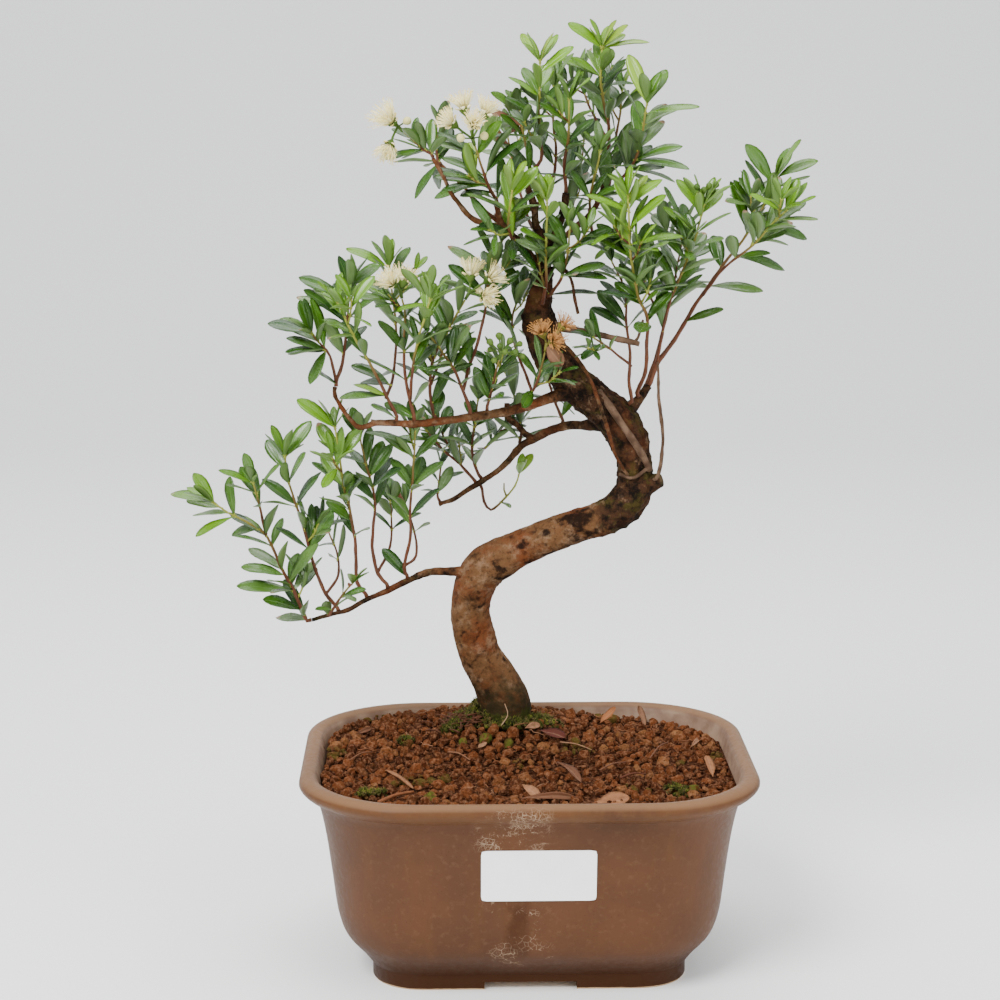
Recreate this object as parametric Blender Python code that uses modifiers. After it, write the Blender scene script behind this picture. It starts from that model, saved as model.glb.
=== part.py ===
"""Syzygium bonsai in its glazed pot, at its real size.

The shapes are worked out in millimetres and turned into metres at the end. +Z is up, +X runs to the
right of the front view and +Y away from it. While the model is built, the pot's foot is centred on
the origin. At the end everything moves so that the origin is below the middle of the whole tree.
"""
import math
import random
from collections import namedtuple

import bmesh
import bpy
from mathutils import Matrix, Vector
from mathutils.bvhtree import BVHTree

MM = 0.001
GAP = 0.3  # between pieces that touch

# Pot
POT_LENGTH = 220.0
POT_WIDTH = 190.0
CORNER_STEPS = 5
# Inset from the rim's outline, corner radius and height of each section of the pot
FOOT_RECESS = ((46.0, 17.0, 3.9), (43.4, 18.0, 0.0))
POT_OUTSIDE = (
    (35.2, 23.5, 0.0), (34.4, 24.0, 1.2), (34.4, 24.0, 7.5), (29.2, 31.0, 13.5), (21.5, 40.0, 22.0),
    (17.6, 45.0, 33.0), (15.2, 48.5, 50.0), (12.7, 51.0, 68.0), (10.0, 53.0, 82.0), (7.2, 54.0, 90.0),
    (2.6, 55.5, 93.0), (0.0, 56.0, 96.6), (0.9, 55.6, 99.4), (3.8, 54.6, 101.0), (7.2, 53.0, 100.0),
    (8.6, 52.2, 97.5),
)
POT_INSIDE = (
    (9.8, 51.5, 92.0), (14.5, 48.0, 82.0), (21.0, 42.0, 50.0), (31.0, 33.0, 22.0), (41.0, 25.0, 14.0),
)
FLOOR_TOP = POT_INSIDE[-1][2]
NOTCH_FRONT = 44.0
NOTCH_SIDE = 34.0
NOTCH_HEIGHT = 4.0
NOTCH_PAST = 10.0  # how far the cutters reach past the foot, both ends together
DRAIN_AT = 36.0  # of each drain hole's centre from the pot's middle
DRAIN_RADIUS = 7.5
DRAIN_SIDES = 20
MESH_SIDE = 30.0
MESH_WIRE = 2.0
MESH_THICK = 1.2

# Label on the front wall
LABEL_LEFT = -23.9
LABEL_RIGHT = 29.7
LABEL_LOW = 51.2
LABEL_HIGH = 76.7
LABEL_CORNER = 1.6
LABEL_THICK = 0.4

# Soil
SOIL_LEVEL = 94.5
SOIL_SLOPE = (-0.02, 0.015)  # per mm to the right and away
MOUND_HEIGHT = 13.0
MOUND_SPREAD = 34.0
GRAIN = 16.0
GRAIN_RISE = 3.4
GRAIN_RISES = (0.6, 1.3)  # share of the rise, lowest and highest
GRAIN_SHIFT = 0.22  # share of a grain's size
SOIL_FOOT = 5.0

# The front view that the tree is laid out in: where it is seen from, and a frame of 1000 by 1000 steps
# The pot stands turned a little in this view, its right side farther away.
EYE = Vector((-13.25, -1187.0, 439.6))
VIEW_DOWN = math.radians(10.2)
VIEW_TURN = math.radians(1.33)
VIEW_FOCAL = 2492.0
VIEW_MIDDLE = 500.0

# Trunk: place in the front view (across, down), depth in mm and diameter in mm
TRUNK_SIDES = 10
TRUNK_STEP = 10.0
TRUNK_DENT = 0.035  # share of the radius
TRUNK_WAVES = ((0.045, 2, 0.21), (0.03, 3, -0.5))  # share of the radius, count round it, turn per ring
TRUNK_RINGS_LOW = 9  # of the part that stands in the soil
TRUNK_FOOT = (Vector((-10.0, 42.0, 78.0)), Vector((-10.2, 41.0, 101.0)))
TRUNK_FOOT_THICK = 26.0
TRUNK = (
    (505, 703, 40, 26.0), (495, 679, 39, 22.5), (481, 655, 38, 20.5), (473, 631, 36, 20.0),
    (470, 607, 34, 18.8), (475, 584, 32, 20.0), (486, 568, 31, 20.5), (500, 559, 30, 20.0),
    (524, 547, 29, 17.5), (552, 535, 28, 17.0), (579, 525, 27, 16.5), (604, 517, 26, 17.5),
    (624, 505, 25, 19.0), (634, 488, 25, 19.0), (635, 472, 25, 18.5), (633, 456, 25, 19.0),
    (628, 441, 25, 20.5), (621, 426, 25, 21.0), (607, 410, 25, 20.0), (588, 395, 24, 19.5),
    (569, 378, 24, 19.0), (555, 360, 23, 18.0), (545, 340, 22, 18.5), (538, 318, 22, 16.5),
    (540, 298, 21, 12.0), (546, 278, 20, 8.0),
)

# Limbs that grew or died as part of the trunk: thickness at both ends, then places in the front view
LIMBS = {
    "lower_left": (4.4, 1.8, (
        (476, 572, 30), (463, 572, 29), (431, 572, 26), (407, 581, 22), (387, 591, 18), (368, 599, 14),
        (348, 610, 10), (332, 614, 8), (312, 620, 5),
    )),
    "middle_left": (5.4, 3.0, (
        (575, 391, 21), (555, 396, 17), (528, 406, 11), (499, 413, 6), (470, 417, 1), (442, 421, -4),
        (413, 424, -9), (394, 423, -11), (371, 423, -12),
    )),
    "middle_left_end": (2.6, 1.8, (
        (376, 423, -12), (359, 427, -13), (346, 414, -14), (335, 396, -15), (335, 387, -15),
    )),
    "back": (5.0, 2.2, (
        (606, 424, 31), (585, 425, 36), (566, 426, 42), (547, 432, 47), (534, 439, 50), (521, 446, 52),
        (508, 461, 55), (496, 472, 58), (479, 483, 60), (464, 492, 62), (454, 499, 63), (439, 504, 64),
    )),
    "back_fork": (3.4, 2.8, (
        (536, 438, 49), (528, 436, 50), (517, 425, 52), (508, 417, 54), (507, 403, 55),
    )),
    "sawn_right": (3.8, 2.6, (
        (546, 325, 22), (560, 327, 20), (587, 332, 16), (614, 338, 12), (639, 344, 8),
    )),
    "sawn_right_twig": (1.8, 1.2, ((634, 343, 9), (638, 338, 9), (643, 320, 6))),
    "old_rod": (3.6, 3.2, (
        (598, 391, 17), (612, 410, 13), (628, 433, 13), (641, 453, 15), (650, 470, 18),
    )),
    "elbow_stub": (9.0, 6.4, ((638, 486, 24), (650, 483, 22), (661, 480, 20))),
    "dead_twig": (1.9, 1.6, (
        (562, 343, 15), (575, 356, 10), (590, 379, 8), (599, 403, 7), (607, 427, 8), (616, 456, 10),
        (629, 477, 17),
    )),
    "dead_twig_low": (1.6, 1.6, ((620, 474, 19), (633, 478, 14), (650, 466, 18))),
    "bare_twig": (2.0, 1.4, (
        (651, 480, 20), (658, 475, 16), (663, 439, 14), (659, 400, 12), (658, 362, 10),
    )),
    "right_base": (6.4, 3.8, ((617, 416, 25), (630, 408, 28), (640, 398, 31), (648, 386, 33))),
    "leader": (4.8, 2.8, (
        (545, 284, 20), (545, 242, 18), (536, 226, 16), (534, 206, 14), (526, 182, 12),
    )),
    "crown_left": (4.4, 2.6, (
        (547, 276, 20), (543, 267, 17), (534, 259, 14), (522, 245, 9), (510, 233, 5), (500, 220, 2),
        (497, 205, 0),
    )),
    "crown_low_left": (2.8, 1.8, (
        (507, 230, 4), (492, 225, 0), (480, 222, -2), (470, 217, -4), (460, 205, -6), (451, 193, -8),
        (443, 176, -10), (433, 158, -12),
    )),
    "crown_low_back": (2.4, 1.6, (
        (503, 224, 3), (488, 214, 10), (475, 201, 17), (464, 187, 24), (451, 174, 30), (441, 165, 34),
    )),
    "crown_right": (3.6, 2.2, (
        (547, 265, 20), (562, 240, 24), (588, 216, 32), (598, 202, 36), (603, 188, 38), (607, 170, 40),
    )),
    "crown_stub": (4.2, 3.6, ((546, 246, 18), (557, 228, 15), (564, 208, 12), (566, 193, 11))),
    "hanging_twig": (1.7, 1.3, (
        (548, 270, 19), (560, 266, 12), (571, 279, 6), (575, 300, 3), (578, 314, 2),
    )),
}
LIMB_SIDES = 5
LIMB_STEP = 14.0
STEM_STEP = 15.0
STEM_END = 0.75  # radius
STEM_BOWS = (0, 4, -4, 8, -8, 12, -12, 16, -16)
STEM_RISE = 2.2  # straight out of the bark

# A spray's stem: places in the front view with depth, thickness at its foot, share of it where leaves
# begin, number of leaf pairs, leaf length in mm, how young its leaves are (0 to 1), and tips of leaves
# that stand out in the front view. A spray's other stems spring from its first one.
Stem = namedtuple("Stem", "path thick bare pairs leaf young tips", defaults=(0.2, 4, 19.0, 0.2, ()))

SPRAYS = {
    "lower_left_spray_1": (
        Stem(
            (
                (407, 577, 21), (404, 566, 19), (410, 538, 15), (410, 511, 12), (412, 487, 9),
                (414, 457, 7), (415, 432, 5),
            ),
            thick=1.9, bare=0.5, pairs=1, leaf=19.0, young=0.3,
            tips=((364, 432), (382, 434), (391, 458), (444, 461), (423, 455), (393, 496), (382, 548)),
        ),
        Stem(
            ((404, 566, 19), (416, 556, 30), (414, 530, 42), (405, 505, 50)),
            thick=1.6, bare=0.6, pairs=1, leaf=17.0, young=0.0,
        ),
    ),
    "lower_left_spray_2": (
        Stem(
            (
                (388, 588, 18), (378, 574, 16), (372, 546, 14), (375, 511, 11), (373, 489, 8),
                (366, 465, 6), (360, 438, 5),
            ),
            thick=2.0, bare=0.55, pairs=2, leaf=19.0, young=0.2,
            tips=((383, 440), (350, 447), (393, 443), (350, 474)),
        ),
        Stem(
            ((378, 572, 16), (388, 552, 26), (392, 528, 34), (390, 502, 38)),
            thick=1.6, bare=0.6, pairs=1, leaf=17.0, young=0.1,
            tips=((398, 480),),
        ),
    ),
    "lower_left_spray_3": (
        Stem(
            (
                (367, 597, 14), (357, 582, 11), (356, 550, 7), (354, 534, 5), (349, 507, 2),
                (344, 487, -1), (340, 457, -4), (335, 428, -6),
            ),
            thick=2.0, bare=0.45, pairs=2, leaf=19.0, young=0.6,
            tips=((297, 398), (317, 422), (361, 428), (321, 452), (326, 500), (362, 478)),
        ),
    ),
    "lower_left_spray_4": (
        Stem(
            (
                (339, 612, 9), (326, 594, 7), (317, 574, 6), (308, 546, 3), (304, 528, 1),
                (296, 505, -2), (289, 483, -5), (285, 457, -8),
            ),
            thick=2.0, bare=0.45, pairs=1, leaf=20.0, young=0.3,
            tips=((266, 439), (311, 420), (306, 452), (317, 475), (317, 505), (262, 478)),
        ),
        Stem(
            ((326, 594, 7), (338, 576, 20), (337, 552, 32), (328, 530, 40)),
            thick=1.6, bare=0.5, pairs=1, leaf=18.0, young=0.1,
        ),
    ),
    "lower_left_spray_5": (
        Stem(
            (
                (310, 620, 5), (298, 600, 4), (289, 582, 3), (281, 568, 2), (273, 548, 1),
                (265, 534, 0), (249, 523, -2), (229, 513, -4), (214, 503, -6),
            ),
            thick=2.0, bare=0.1, pairs=3, leaf=21.0, young=0.5,
            tips=(
                (170, 492), (186, 499), (192, 515), (236, 586), (241, 566), (248, 548), (263, 598),
                (276, 617), (317, 543),
            ),
        ),
        Stem(
            ((266, 534, 0), (261, 511, -8), (257, 495, -12), (253, 483, -15)),
            thick=1.6, bare=0.35, pairs=1, leaf=18.0, young=0.4,
            tips=((218, 470), (240, 466)),
        ),
    ),
    "lower_left_spray_6": (
        Stem(
            ((328, 614, 6), (336, 604, -4), (345, 592, -14), (352, 584, -20)),
            thick=1.6, bare=0.3, pairs=1, leaf=14.0, young=0.3,
            tips=((366, 588), (326, 600)),
        ),
    ),
    "middle_left_spray_1": (
        Stem(
            ((336, 386, -15), (342, 364, -12), (346, 335, -9), (348, 312, -6), (349, 289, -4)),
            thick=1.9, bare=0.4, pairs=1, leaf=21.0, young=0.2,
            tips=((380, 262), (351, 258), (298, 277), (304, 288), (319, 372)),
        ),
        Stem(
            ((336, 382, -15), (330, 356, -20), (322, 346, -24), (312, 334, -27)),
            thick=1.6, bare=0.5, pairs=1, leaf=20.0, young=0.1,
            tips=((267, 323), (286, 337), (285, 351), (310, 385)),
        ),
    ),
    "middle_left_spray_2": (
        Stem(
            (
                (396, 421, -12), (375, 373, -20), (363, 352, -23), (352, 333, -26), (344, 316, -28),
                (339, 304, -29),
            ),
            thick=1.8, bare=0.5, pairs=1, leaf=18.0, young=0.9,
            tips=((336, 286), (322, 318), (353, 384), (371, 404), (339, 397)),
        ),
        Stem(
            ((386, 398, -16), (394, 372, -2), (396, 330, 6), (392, 292, 10), (389, 268, 11)),
            thick=1.6, bare=0.5, pairs=2, leaf=19.0, young=0.5,
            tips=((386, 234), (346, 247), (351, 363), (360, 381), (374, 378)),
        ),
    ),
    "middle_left_spray_3": (
        Stem(
            (
                (414, 421, -9), (409, 396, -13), (405, 373, -16), (404, 345, -18), (405, 316, -20),
                (402, 299, -21),
            ),
            thick=1.9, bare=0.4, pairs=2, leaf=19.0, young=0.3,
            tips=((428, 381), (384, 402)),
        ),
        Stem(
            ((410, 400, -12), (415, 352, -28), (423, 322, -33), (430, 300, -36)),
            thick=1.6, bare=0.3, pairs=2, leaf=17.0, young=0.9,
            tips=((425, 277), (440, 290)),
        ),
    ),
    "middle_left_spray_4": (
        Stem(
            ((436, 419, -4), (430, 392, 2), (432, 364, 4), (444, 337, 6), (457, 314, 6), (465, 300, 5)),
            thick=1.9, bare=0.35, pairs=3, leaf=18.0, young=0.4,
            tips=((441, 389), (449, 371), (410, 352)),
        ),
        Stem(
            ((431, 384, 2), (440, 360, 16), (444, 330, 26), (440, 300, 34)),
            thick=1.6, bare=0.3, pairs=2, leaf=18.0, young=0.1,
        ),
    ),
    "middle_left_spray_5": (
        Stem(
            ((470, 415, 0), (463, 390, -6), (453, 368, -12), (440, 349, -17), (428, 333, -20)),
            thick=1.9, bare=0.4, pairs=2, leaf=19.0, young=0.3,
            tips=((476, 337),),
        ),
        Stem(
            (
                (463, 390, -6), (470, 364, 4), (477, 345, 9), (485, 312, 14), (488, 283, 17),
                (491, 262, 18), (501, 243, 18), (510, 226, 18),
            ),
            thick=1.8, bare=0.45, pairs=1, leaf=19.0, young=0.4,
            tips=(
                (496, 212), (447, 246), (460, 250), (508, 206), (532, 214), (543, 248), (448, 264),
                (520, 272), (461, 322),
            ),
        ),
    ),
    "middle_left_spray_6": (
        Stem(
            ((487, 412, 4), (491, 393, 0), (495, 375, -4), (499, 360, -6)),
            thick=1.7, bare=0.3, pairs=2, leaf=17.0, young=0.2,
            tips=((474, 366), (520, 372)),
        ),
    ),
    "middle_left_spray_7": (
        Stem(
            ((525, 405, 11), (534, 389, 4), (541, 370, -1), (545, 352, -3)),
            thick=1.8, bare=0.4, pairs=1, leaf=16.0, young=0.2,
            tips=((519, 352),),
        ),
        Stem(
            (
                (532, 392, 5), (524, 370, 14), (516, 350, 22), (512, 322, 27), (516, 305, 27),
                (526, 292, 26),
            ),
            thick=1.6, bare=0.3, pairs=2, leaf=18.0, young=0.3,
            tips=((503, 259), (494, 291), (494, 303), (541, 265)),
        ),
    ),
    "back_spray_1": (
        Stem(
            ((475, 481, 60), (459, 463, 62), (448, 445, 65), (438, 424, 68)),
            thick=1.8, bare=0.4, pairs=2, leaf=18.0, young=0.0,
            tips=((421, 404), (450, 405)),
        ),
        Stem(
            ((459, 463, 62), (443, 450, 56), (427, 431, 53)),
            thick=1.5, bare=0.4, pairs=1, leaf=17.0, young=0.0,
        ),
    ),
    "back_spray_2": (
        Stem(
            ((482, 479, 60), (472, 452, 56), (474, 430, 54), (478, 400, 52)),
            thick=1.8, bare=0.3, pairs=2, leaf=17.0, young=0.2,
        ),
        Stem(
            ((473, 456, 57), (489, 445, 66), (505, 424, 72)),
            thick=1.5, bare=0.3, pairs=2, leaf=17.0, young=0.0,
        ),
    ),
    "back_spray_3": (
        Stem(
            (
                (481, 486, 60), (484, 501, 58), (491, 510, 57), (502, 501, 55), (515, 486, 53),
                (519, 474, 52),
            ),
            thick=1.6, bare=0.6, pairs=1, leaf=13.0, young=0.8,
            tips=((533, 453), (522, 461)),
        ),
    ),
    "back_spray_4": (
        Stem(
            ((440, 502, 64), (438, 490, 67), (441, 466, 70)),
            thick=1.5, bare=0.5, pairs=1, leaf=13.0, young=0.1,
        ),
    ),
    "back_spray_5": (
        Stem(
            ((520, 445, 53), (521, 428, 64), (515, 400, 74), (506, 374, 80)),
            thick=1.8, bare=0.25, pairs=2, leaf=19.0, young=0.1,
        ),
    ),
    "back_spray_6": (
        Stem(
            ((562, 425, 44), (556, 405, 56), (548, 380, 66), (540, 352, 72)),
            thick=1.8, bare=0.25, pairs=2, leaf=19.0, young=0.0,
        ),
    ),
    "right_spray_1": (
        Stem(
            (
                (649, 384, 33), (657, 364, 34), (674, 340, 36), (696, 304, 38), (721, 268, 40),
                (742, 241, 41), (753, 224, 41), (762, 209, 41), (771, 191, 41), (776, 178, 41),
            ),
            thick=2.6, bare=0.62, pairs=2, leaf=21.0, young=0.4,
            tips=(
                (801, 139), (818, 159), (732, 180), (746, 143), (746, 159), (808, 238), (786, 269),
                (764, 291), (724, 309), (713, 234),
            ),
        ),
        Stem(
            ((703, 295, 38), (726, 266, 30), (753, 245, 24), (771, 225, 20), (786, 211, 18)),
            thick=1.6, bare=0.3, pairs=2, leaf=20.0, young=0.6,
            tips=((806, 200),),
        ),
        Stem(
            (
                (657, 364, 34), (663, 330, 24), (671, 299, 18), (681, 274, 14), (692, 247, 10),
                (700, 222, 8), (703, 206, 7),
            ),
            thick=1.8, bare=0.35, pairs=1, leaf=19.0, young=0.6,
            tips=(
                (650, 243), (663, 206), (651, 223), (686, 212), (677, 178), (722, 188), (724, 238),
                (703, 274), (660, 290),
            ),
        ),
    ),
    "right_spray_2": (
        Stem(
            (
                (640, 396, 27), (645, 372, 20), (647, 343, 12), (647, 318, 6), (639, 299, 2),
                (633, 272, -2), (630, 245, -5), (629, 212, -8), (628, 196, -9),
            ),
            thick=2.2, bare=0.4, pairs=1, leaf=19.0, young=0.7,
            tips=(
                (647, 174), (608, 172), (662, 178), (666, 194), (617, 215), (586, 194), (604, 199),
                (596, 236), (683, 234), (614, 219), (620, 262), (655, 262), (600, 292), (672, 292),
            ),
        ),
    ),
    "right_spray_3": (
        Stem(
            (
                (629, 404, 25), (629, 380, 21), (630, 352, 20), (626, 322, 19), (625, 290, 20),
                (612, 262, 22),
            ),
            thick=1.9, bare=0.6, pairs=2, leaf=19.0, young=0.1,
            tips=((597, 290), (588, 262)),
        ),
        Stem(
            ((631, 366, 21), (612, 350, 10), (594, 338, 4)),
            thick=1.4, bare=0.5, pairs=1, leaf=15.0, young=0.1,
        ),
    ),
    "right_spray_4": (
        Stem(
            ((641, 396, 36), (655, 360, 48), (668, 310, 58), (678, 262, 66), (684, 232, 70)),
            thick=2.0, bare=0.55, pairs=2, leaf=20.0, young=0.1,
            tips=((712, 246), (664, 186)),
        ),
        Stem(
            ((664, 326, 55), (648, 292, 66), (640, 262, 74)),
            thick=1.6, bare=0.6, pairs=1, leaf=19.0, young=0.0,
            tips=((648, 222),),
        ),
    ),
    "crown_spray_1": (
        Stem(
            ((527, 181, 12), (541, 160, 8), (540, 134, 6), (539, 110, 5), (540, 84, 4), (540, 62, 3)),
            thick=2.0, bare=0.15, pairs=2, leaf=18.0, young=0.8,
            tips=((521, 33), (558, 34), (574, 46), (508, 76), (519, 97), (562, 84), (523, 66)),
        ),
    ),
    "crown_spray_2": (
        Stem(
            ((607, 168, 40), (609, 127, 36), (605, 108, 34), (601, 86, 32), (601, 68, 31), (602, 48, 30)),
            thick=2.2, bare=0.15, pairs=1, leaf=18.0, young=0.7,
            tips=(
                (568, 22), (611, 25), (628, 24), (650, 40), (559, 57), (571, 57), (588, 48), (626, 58),
                (587, 86), (598, 93),
            ),
        ),
        Stem(
            ((608, 140, 38), (595, 118, 50), (585, 96, 58), (580, 76, 62)),
            thick=1.6, bare=0.3, pairs=1, leaf=17.0, young=0.3,
            tips=((579, 60),),
        ),
    ),
    "crown_spray_3": (
        Stem(
            ((535, 215, 16), (552, 180, 24), (556, 150, 28), (553, 122, 30), (554, 88, 31)),
            thick=1.9, bare=0.3, pairs=2, leaf=18.0, young=0.3,
            tips=((572, 52), (579, 74), (533, 136)),
        ),
    ),
    "crown_spray_4": (
        Stem(
            ((566, 191, 11), (564, 165, 4), (568, 142, 0), (569, 124, -3), (569, 100, -6)),
            thick=1.9, bare=0.25, pairs=2, leaf=18.0, young=0.5,
            tips=((590, 77), (595, 118), (539, 102)),
        ),
    ),
    "crown_spray_5": (
        Stem(
            ((604, 186, 39), (613, 160, 50), (616, 135, 56), (621, 108, 60), (622, 92, 62)),
            thick=1.9, bare=0.3, pairs=1, leaf=19.0, young=0.3,
            tips=((652, 81), (635, 138), (587, 134)),
        ),
    ),
    "crown_spray_6": (
        Stem(
            (
                (597, 203, 35), (618, 182, 26), (635, 160, 20), (641, 140, 17), (644, 123, 15),
                (647, 104, 13),
            ),
            thick=2.0, bare=0.2, pairs=1, leaf=20.0, young=0.4,
            tips=(
                (667, 69), (628, 54), (700, 106), (683, 145), (690, 168), (665, 166), (664, 119),
                (667, 103), (652, 144), (616, 138),
            ),
        ),
    ),
    "crown_spray_7": (
        Stem(
            ((530, 194, 13), (530, 168, 20), (525, 140, 24), (519, 113, 26)),
            thick=1.8, bare=0.2, pairs=1, leaf=17.0, young=0.4,
            tips=((491, 91), (501, 113), (486, 107), (515, 87), (503, 147)),
        ),
    ),
    "crown_spray_8": (
        Stem(
            ((433, 157, -12), (424, 150, -12), (413, 140, -12), (404, 132, -12)),
            thick=1.7, bare=0.1, pairs=2, leaf=16.0, young=0.5,
            tips=((384, 159), (432, 118), (392, 127)),
        ),
    ),
    "crown_spray_9": (
        Stem(
            ((497, 203, 0), (488, 185, -5), (481, 164, -8), (475, 146, -10)),
            thick=1.9, bare=0.1, pairs=1, leaf=20.0, young=0.3,
            tips=(
                (522, 139), (521, 152), (496, 112), (435, 132), (438, 141), (462, 165), (434, 174),
                (441, 190), (501, 120), (460, 195),
            ),
        ),
    ),
    "crown_spray_10": (
        Stem(
            ((545, 303, 10), (546, 282, 2), (546, 252, -4), (547, 222, -7), (547, 202, -8)),
            thick=1.8, bare=0.3, pairs=2, leaf=17.0, young=1.0,
            tips=((548, 173), (524, 236)),
        ),
    ),
    "crown_spray_11": (
        Stem(
            ((551, 296, 12), (562, 276, 2), (568, 252, -4), (570, 228, -8)),
            thick=1.8, bare=0.2, pairs=2, leaf=19.0, young=0.4,
            tips=((549, 212), (613, 228), (606, 264), (608, 277)),
        ),
    ),
    "crown_spray_12": (
        Stem(
            ((515, 239, 3), (508, 224, -10), (510, 205, -15), (512, 192, -17)),
            thick=1.7, bare=0.2, pairs=1, leaf=19.0, young=0.7,
            tips=((538, 166), (539, 190), (504, 168), (549, 252), (536, 270), (488, 196), (478, 226)),
        ),
    ),
    "crown_spray_13": (
        Stem(
            ((552, 258, 22), (560, 238, 42), (572, 208, 56), (580, 172, 64), (584, 140, 68)),
            thick=2.0, bare=0.25, pairs=3, leaf=19.0, young=0.1,
            tips=((600, 118),),
        ),
    ),
    "crown_spray_14": (
        Stem(
            ((540, 236, 18), (530, 222, 34), (520, 192, 46), (512, 160, 54), (508, 138, 57)),
            thick=1.9, bare=0.25, pairs=2, leaf=18.0, young=0.1,
            tips=((480, 150), (478, 184), (488, 122)),
        ),
    ),
    "crown_spray_15": (
        Stem(
            ((441, 164, 34), (437, 154, 36), (436, 142, 38), (440, 128, 38)),
            thick=1.6, bare=0.1, pairs=2, leaf=18.0, young=0.2,
            tips=((414, 199), (437, 190), (425, 165)),
        ),
    ),
    "crown_spray_16": (
        Stem(
            ((590, 213, 32), (592, 232, 20), (590, 200, 8), (596, 172, 2), (600, 152, 0)),
            thick=1.8, bare=0.35, pairs=2, leaf=18.0, young=0.4,
            tips=((618, 186),),
        ),
    ),
}

# Flower clusters: the spray whose first stem carries them, blooms (place, depth, size in mm), and buds
Cluster = namedtuple("Cluster", "spray blooms buds")
CLUSTERS = {
    "flowers_far_left": Cluster(
        "crown_spray_8",
        ((388, 118, -16, 8.5), (388, 149, -20, 6.5)),
        ((407, 121, -16),),
    ),
    "flowers_crown": Cluster(
        "crown_spray_9",
        ((449, 121, -14, 6.0), (463, 104, -10, 7.0), (486, 110, -8, 6.5), (474, 122, -22, 6.0)),
        ((461, 138, -20), (484, 136, -18)),
    ),
    "flowers_middle_left": Cluster(
        "middle_left_spray_3",
        ((390, 281, -26, 6.0), (404, 278, -18, 6.5)),
        ((418, 284, -24),),
    ),
    "flowers_middle": Cluster(
        "middle_left_spray_4",
        ((471, 271, 8, 7.0), (493, 277, 2, 6.5), (487, 296, -6, 6.0)),
        ((478, 290, 12),),
    ),
    "buds_middle": Cluster(
        "middle_left_spray_6",
        (),
        ((490, 342, -8), (499, 336, -8), (510, 341, -6), (515, 352, -9)),
    ),
    "dry_flowers": Cluster(
        "middle_left_spray_7",
        ((541, 328, -6, 7.0), (556, 340, -10, 7.0), (566, 322, -4, 6.5)),
        (),
    ),
}
BLOOM_RAYS = ((4, 1.7, 0.9), (2, 0.75, 0.35))  # how many, how far from the middle, how far they lean
RAY_THICK = 1.3
STALK = 0.75  # radius
CUP = (0.9, 2.7, 3.2)  # radius below and above, height
BUD_RADIUS = 1.9
FORK_REACH = 3.5

# Fallen leaves and the dry stick: both ends across the soil, breadth, and how far the end stands up, in mm
LITTER = {
    "fallen_leaf_1": ((6.3, 21.7), (19.3, 9.6), 7.0, 0.0),
    "fallen_leaf_2": ((13.8, -5.0), (25.0, -32.0), 4.6, 0.0),
    "fallen_leaf_3": ((29.0, -60.0), (46.5, -57.0), 8.0, 1.5),
    "fallen_leaf_4": ((90.2, -17.0), (89.0, -3.0), 5.5, 7.0),
    "fallen_leaf_5": ((39.6, 57.0), (48.0, 62.0), 5.0, 7.0),
    "fallen_leaf_6": ((64.0, 68.0), (61.0, 71.0), 4.6, 11.0),
    "fallen_stick": ((-71.5, -64.5), (-55.5, -48.0), 2.0, 0.0),
}

LAY_STEPS = 24
DROP_FROM = 30.0  # above the soil

LEAF_BREADTH = 0.37  # of its length
LEAF_KEEL = 0.9
END_KEEL = 0.36
LEAF_SINK = 0.35  # of its foot into the stem
LEAF_FREE = 0.28  # share of the length from where it keeps clear of its own spray
CLOSE = 0.1
LEAF_SECTIONS = ((0.34, 0.84), (0.7, 0.96))  # share of the length, share of the breadth
LEAF_ARCH = 0.05
CLEAR = 0.4  # kept free round leaves and stems
TIP_REACH = (0.6, 1.35)  # share of the usual length, shortest and longest
TIP_TURN = 2.0  # most that a leaf turns off its stem
# Ways to place a leaf when the one before meets something: turn round the stem, lean, share of the size
LEAF_TRIES = ((0, 0, 1), (0.4, 0.1, 1), (-0.4, 0.1, 1), (0.8, -0.2, 0.9), (-0.8, -0.2, 0.9), (0, 0.3, 0.8))
SEED = 2704

Leaf = namedtuple("Leaf", "base along side up length breadth young")

PAINT = {
    "pot": ((0.20, 0.13, 0.10), 0.55),
    "label": ((0.90, 0.90, 0.88), 0.5),
    "soil": ((0.25, 0.09, 0.04), 0.95),
    "mesh": ((0.03, 0.03, 0.03), 0.6),
    "bark": ((0.20, 0.11, 0.07), 0.9),
    "leaf": ((0.06, 0.17, 0.04), 0.45),
    "flower": ((0.90, 0.84, 0.62), 0.7),
    "bud": ((0.25, 0.38, 0.06), 0.5),
    "dry": ((0.55, 0.24, 0.07), 0.8),
}


def seen(across, down, depth):
    """The point, in mm, that the front view shows at this place, at this depth."""
    right = (across - VIEW_MIDDLE) / VIEW_FOCAL
    rise = (VIEW_MIDDLE - down) / VIEW_FOCAL
    ray = Vector((
        right,
        math.cos(VIEW_DOWN) + rise * math.sin(VIEW_DOWN),
        rise * math.cos(VIEW_DOWN) - math.sin(VIEW_DOWN),
    ))
    return Matrix.Rotation(-VIEW_TURN, 3, "Z") @ (EYE + ray * ((depth - EYE.y) / ray.y))


def smooth(points, step):
    """Points about a step apart on the smooth curve through the given ones."""
    ends = [points[0] * 2 - points[1]] + list(points) + [points[-1] * 2 - points[-2]]
    path = [points[0].copy()]
    for before, start, end, after in zip(ends, ends[1:], ends[2:], ends[3:]):
        count = max(1, round((end - start).length / step))
        for index in range(1, count + 1):
            t = index / count
            path.append(0.5 * (
                2 * start + (end - before) * t + (2 * before - 5 * start + 4 * end - after) * t ** 2
                + (3 * start - before - 3 * end + after) * t ** 3
            ))
    return path


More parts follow.
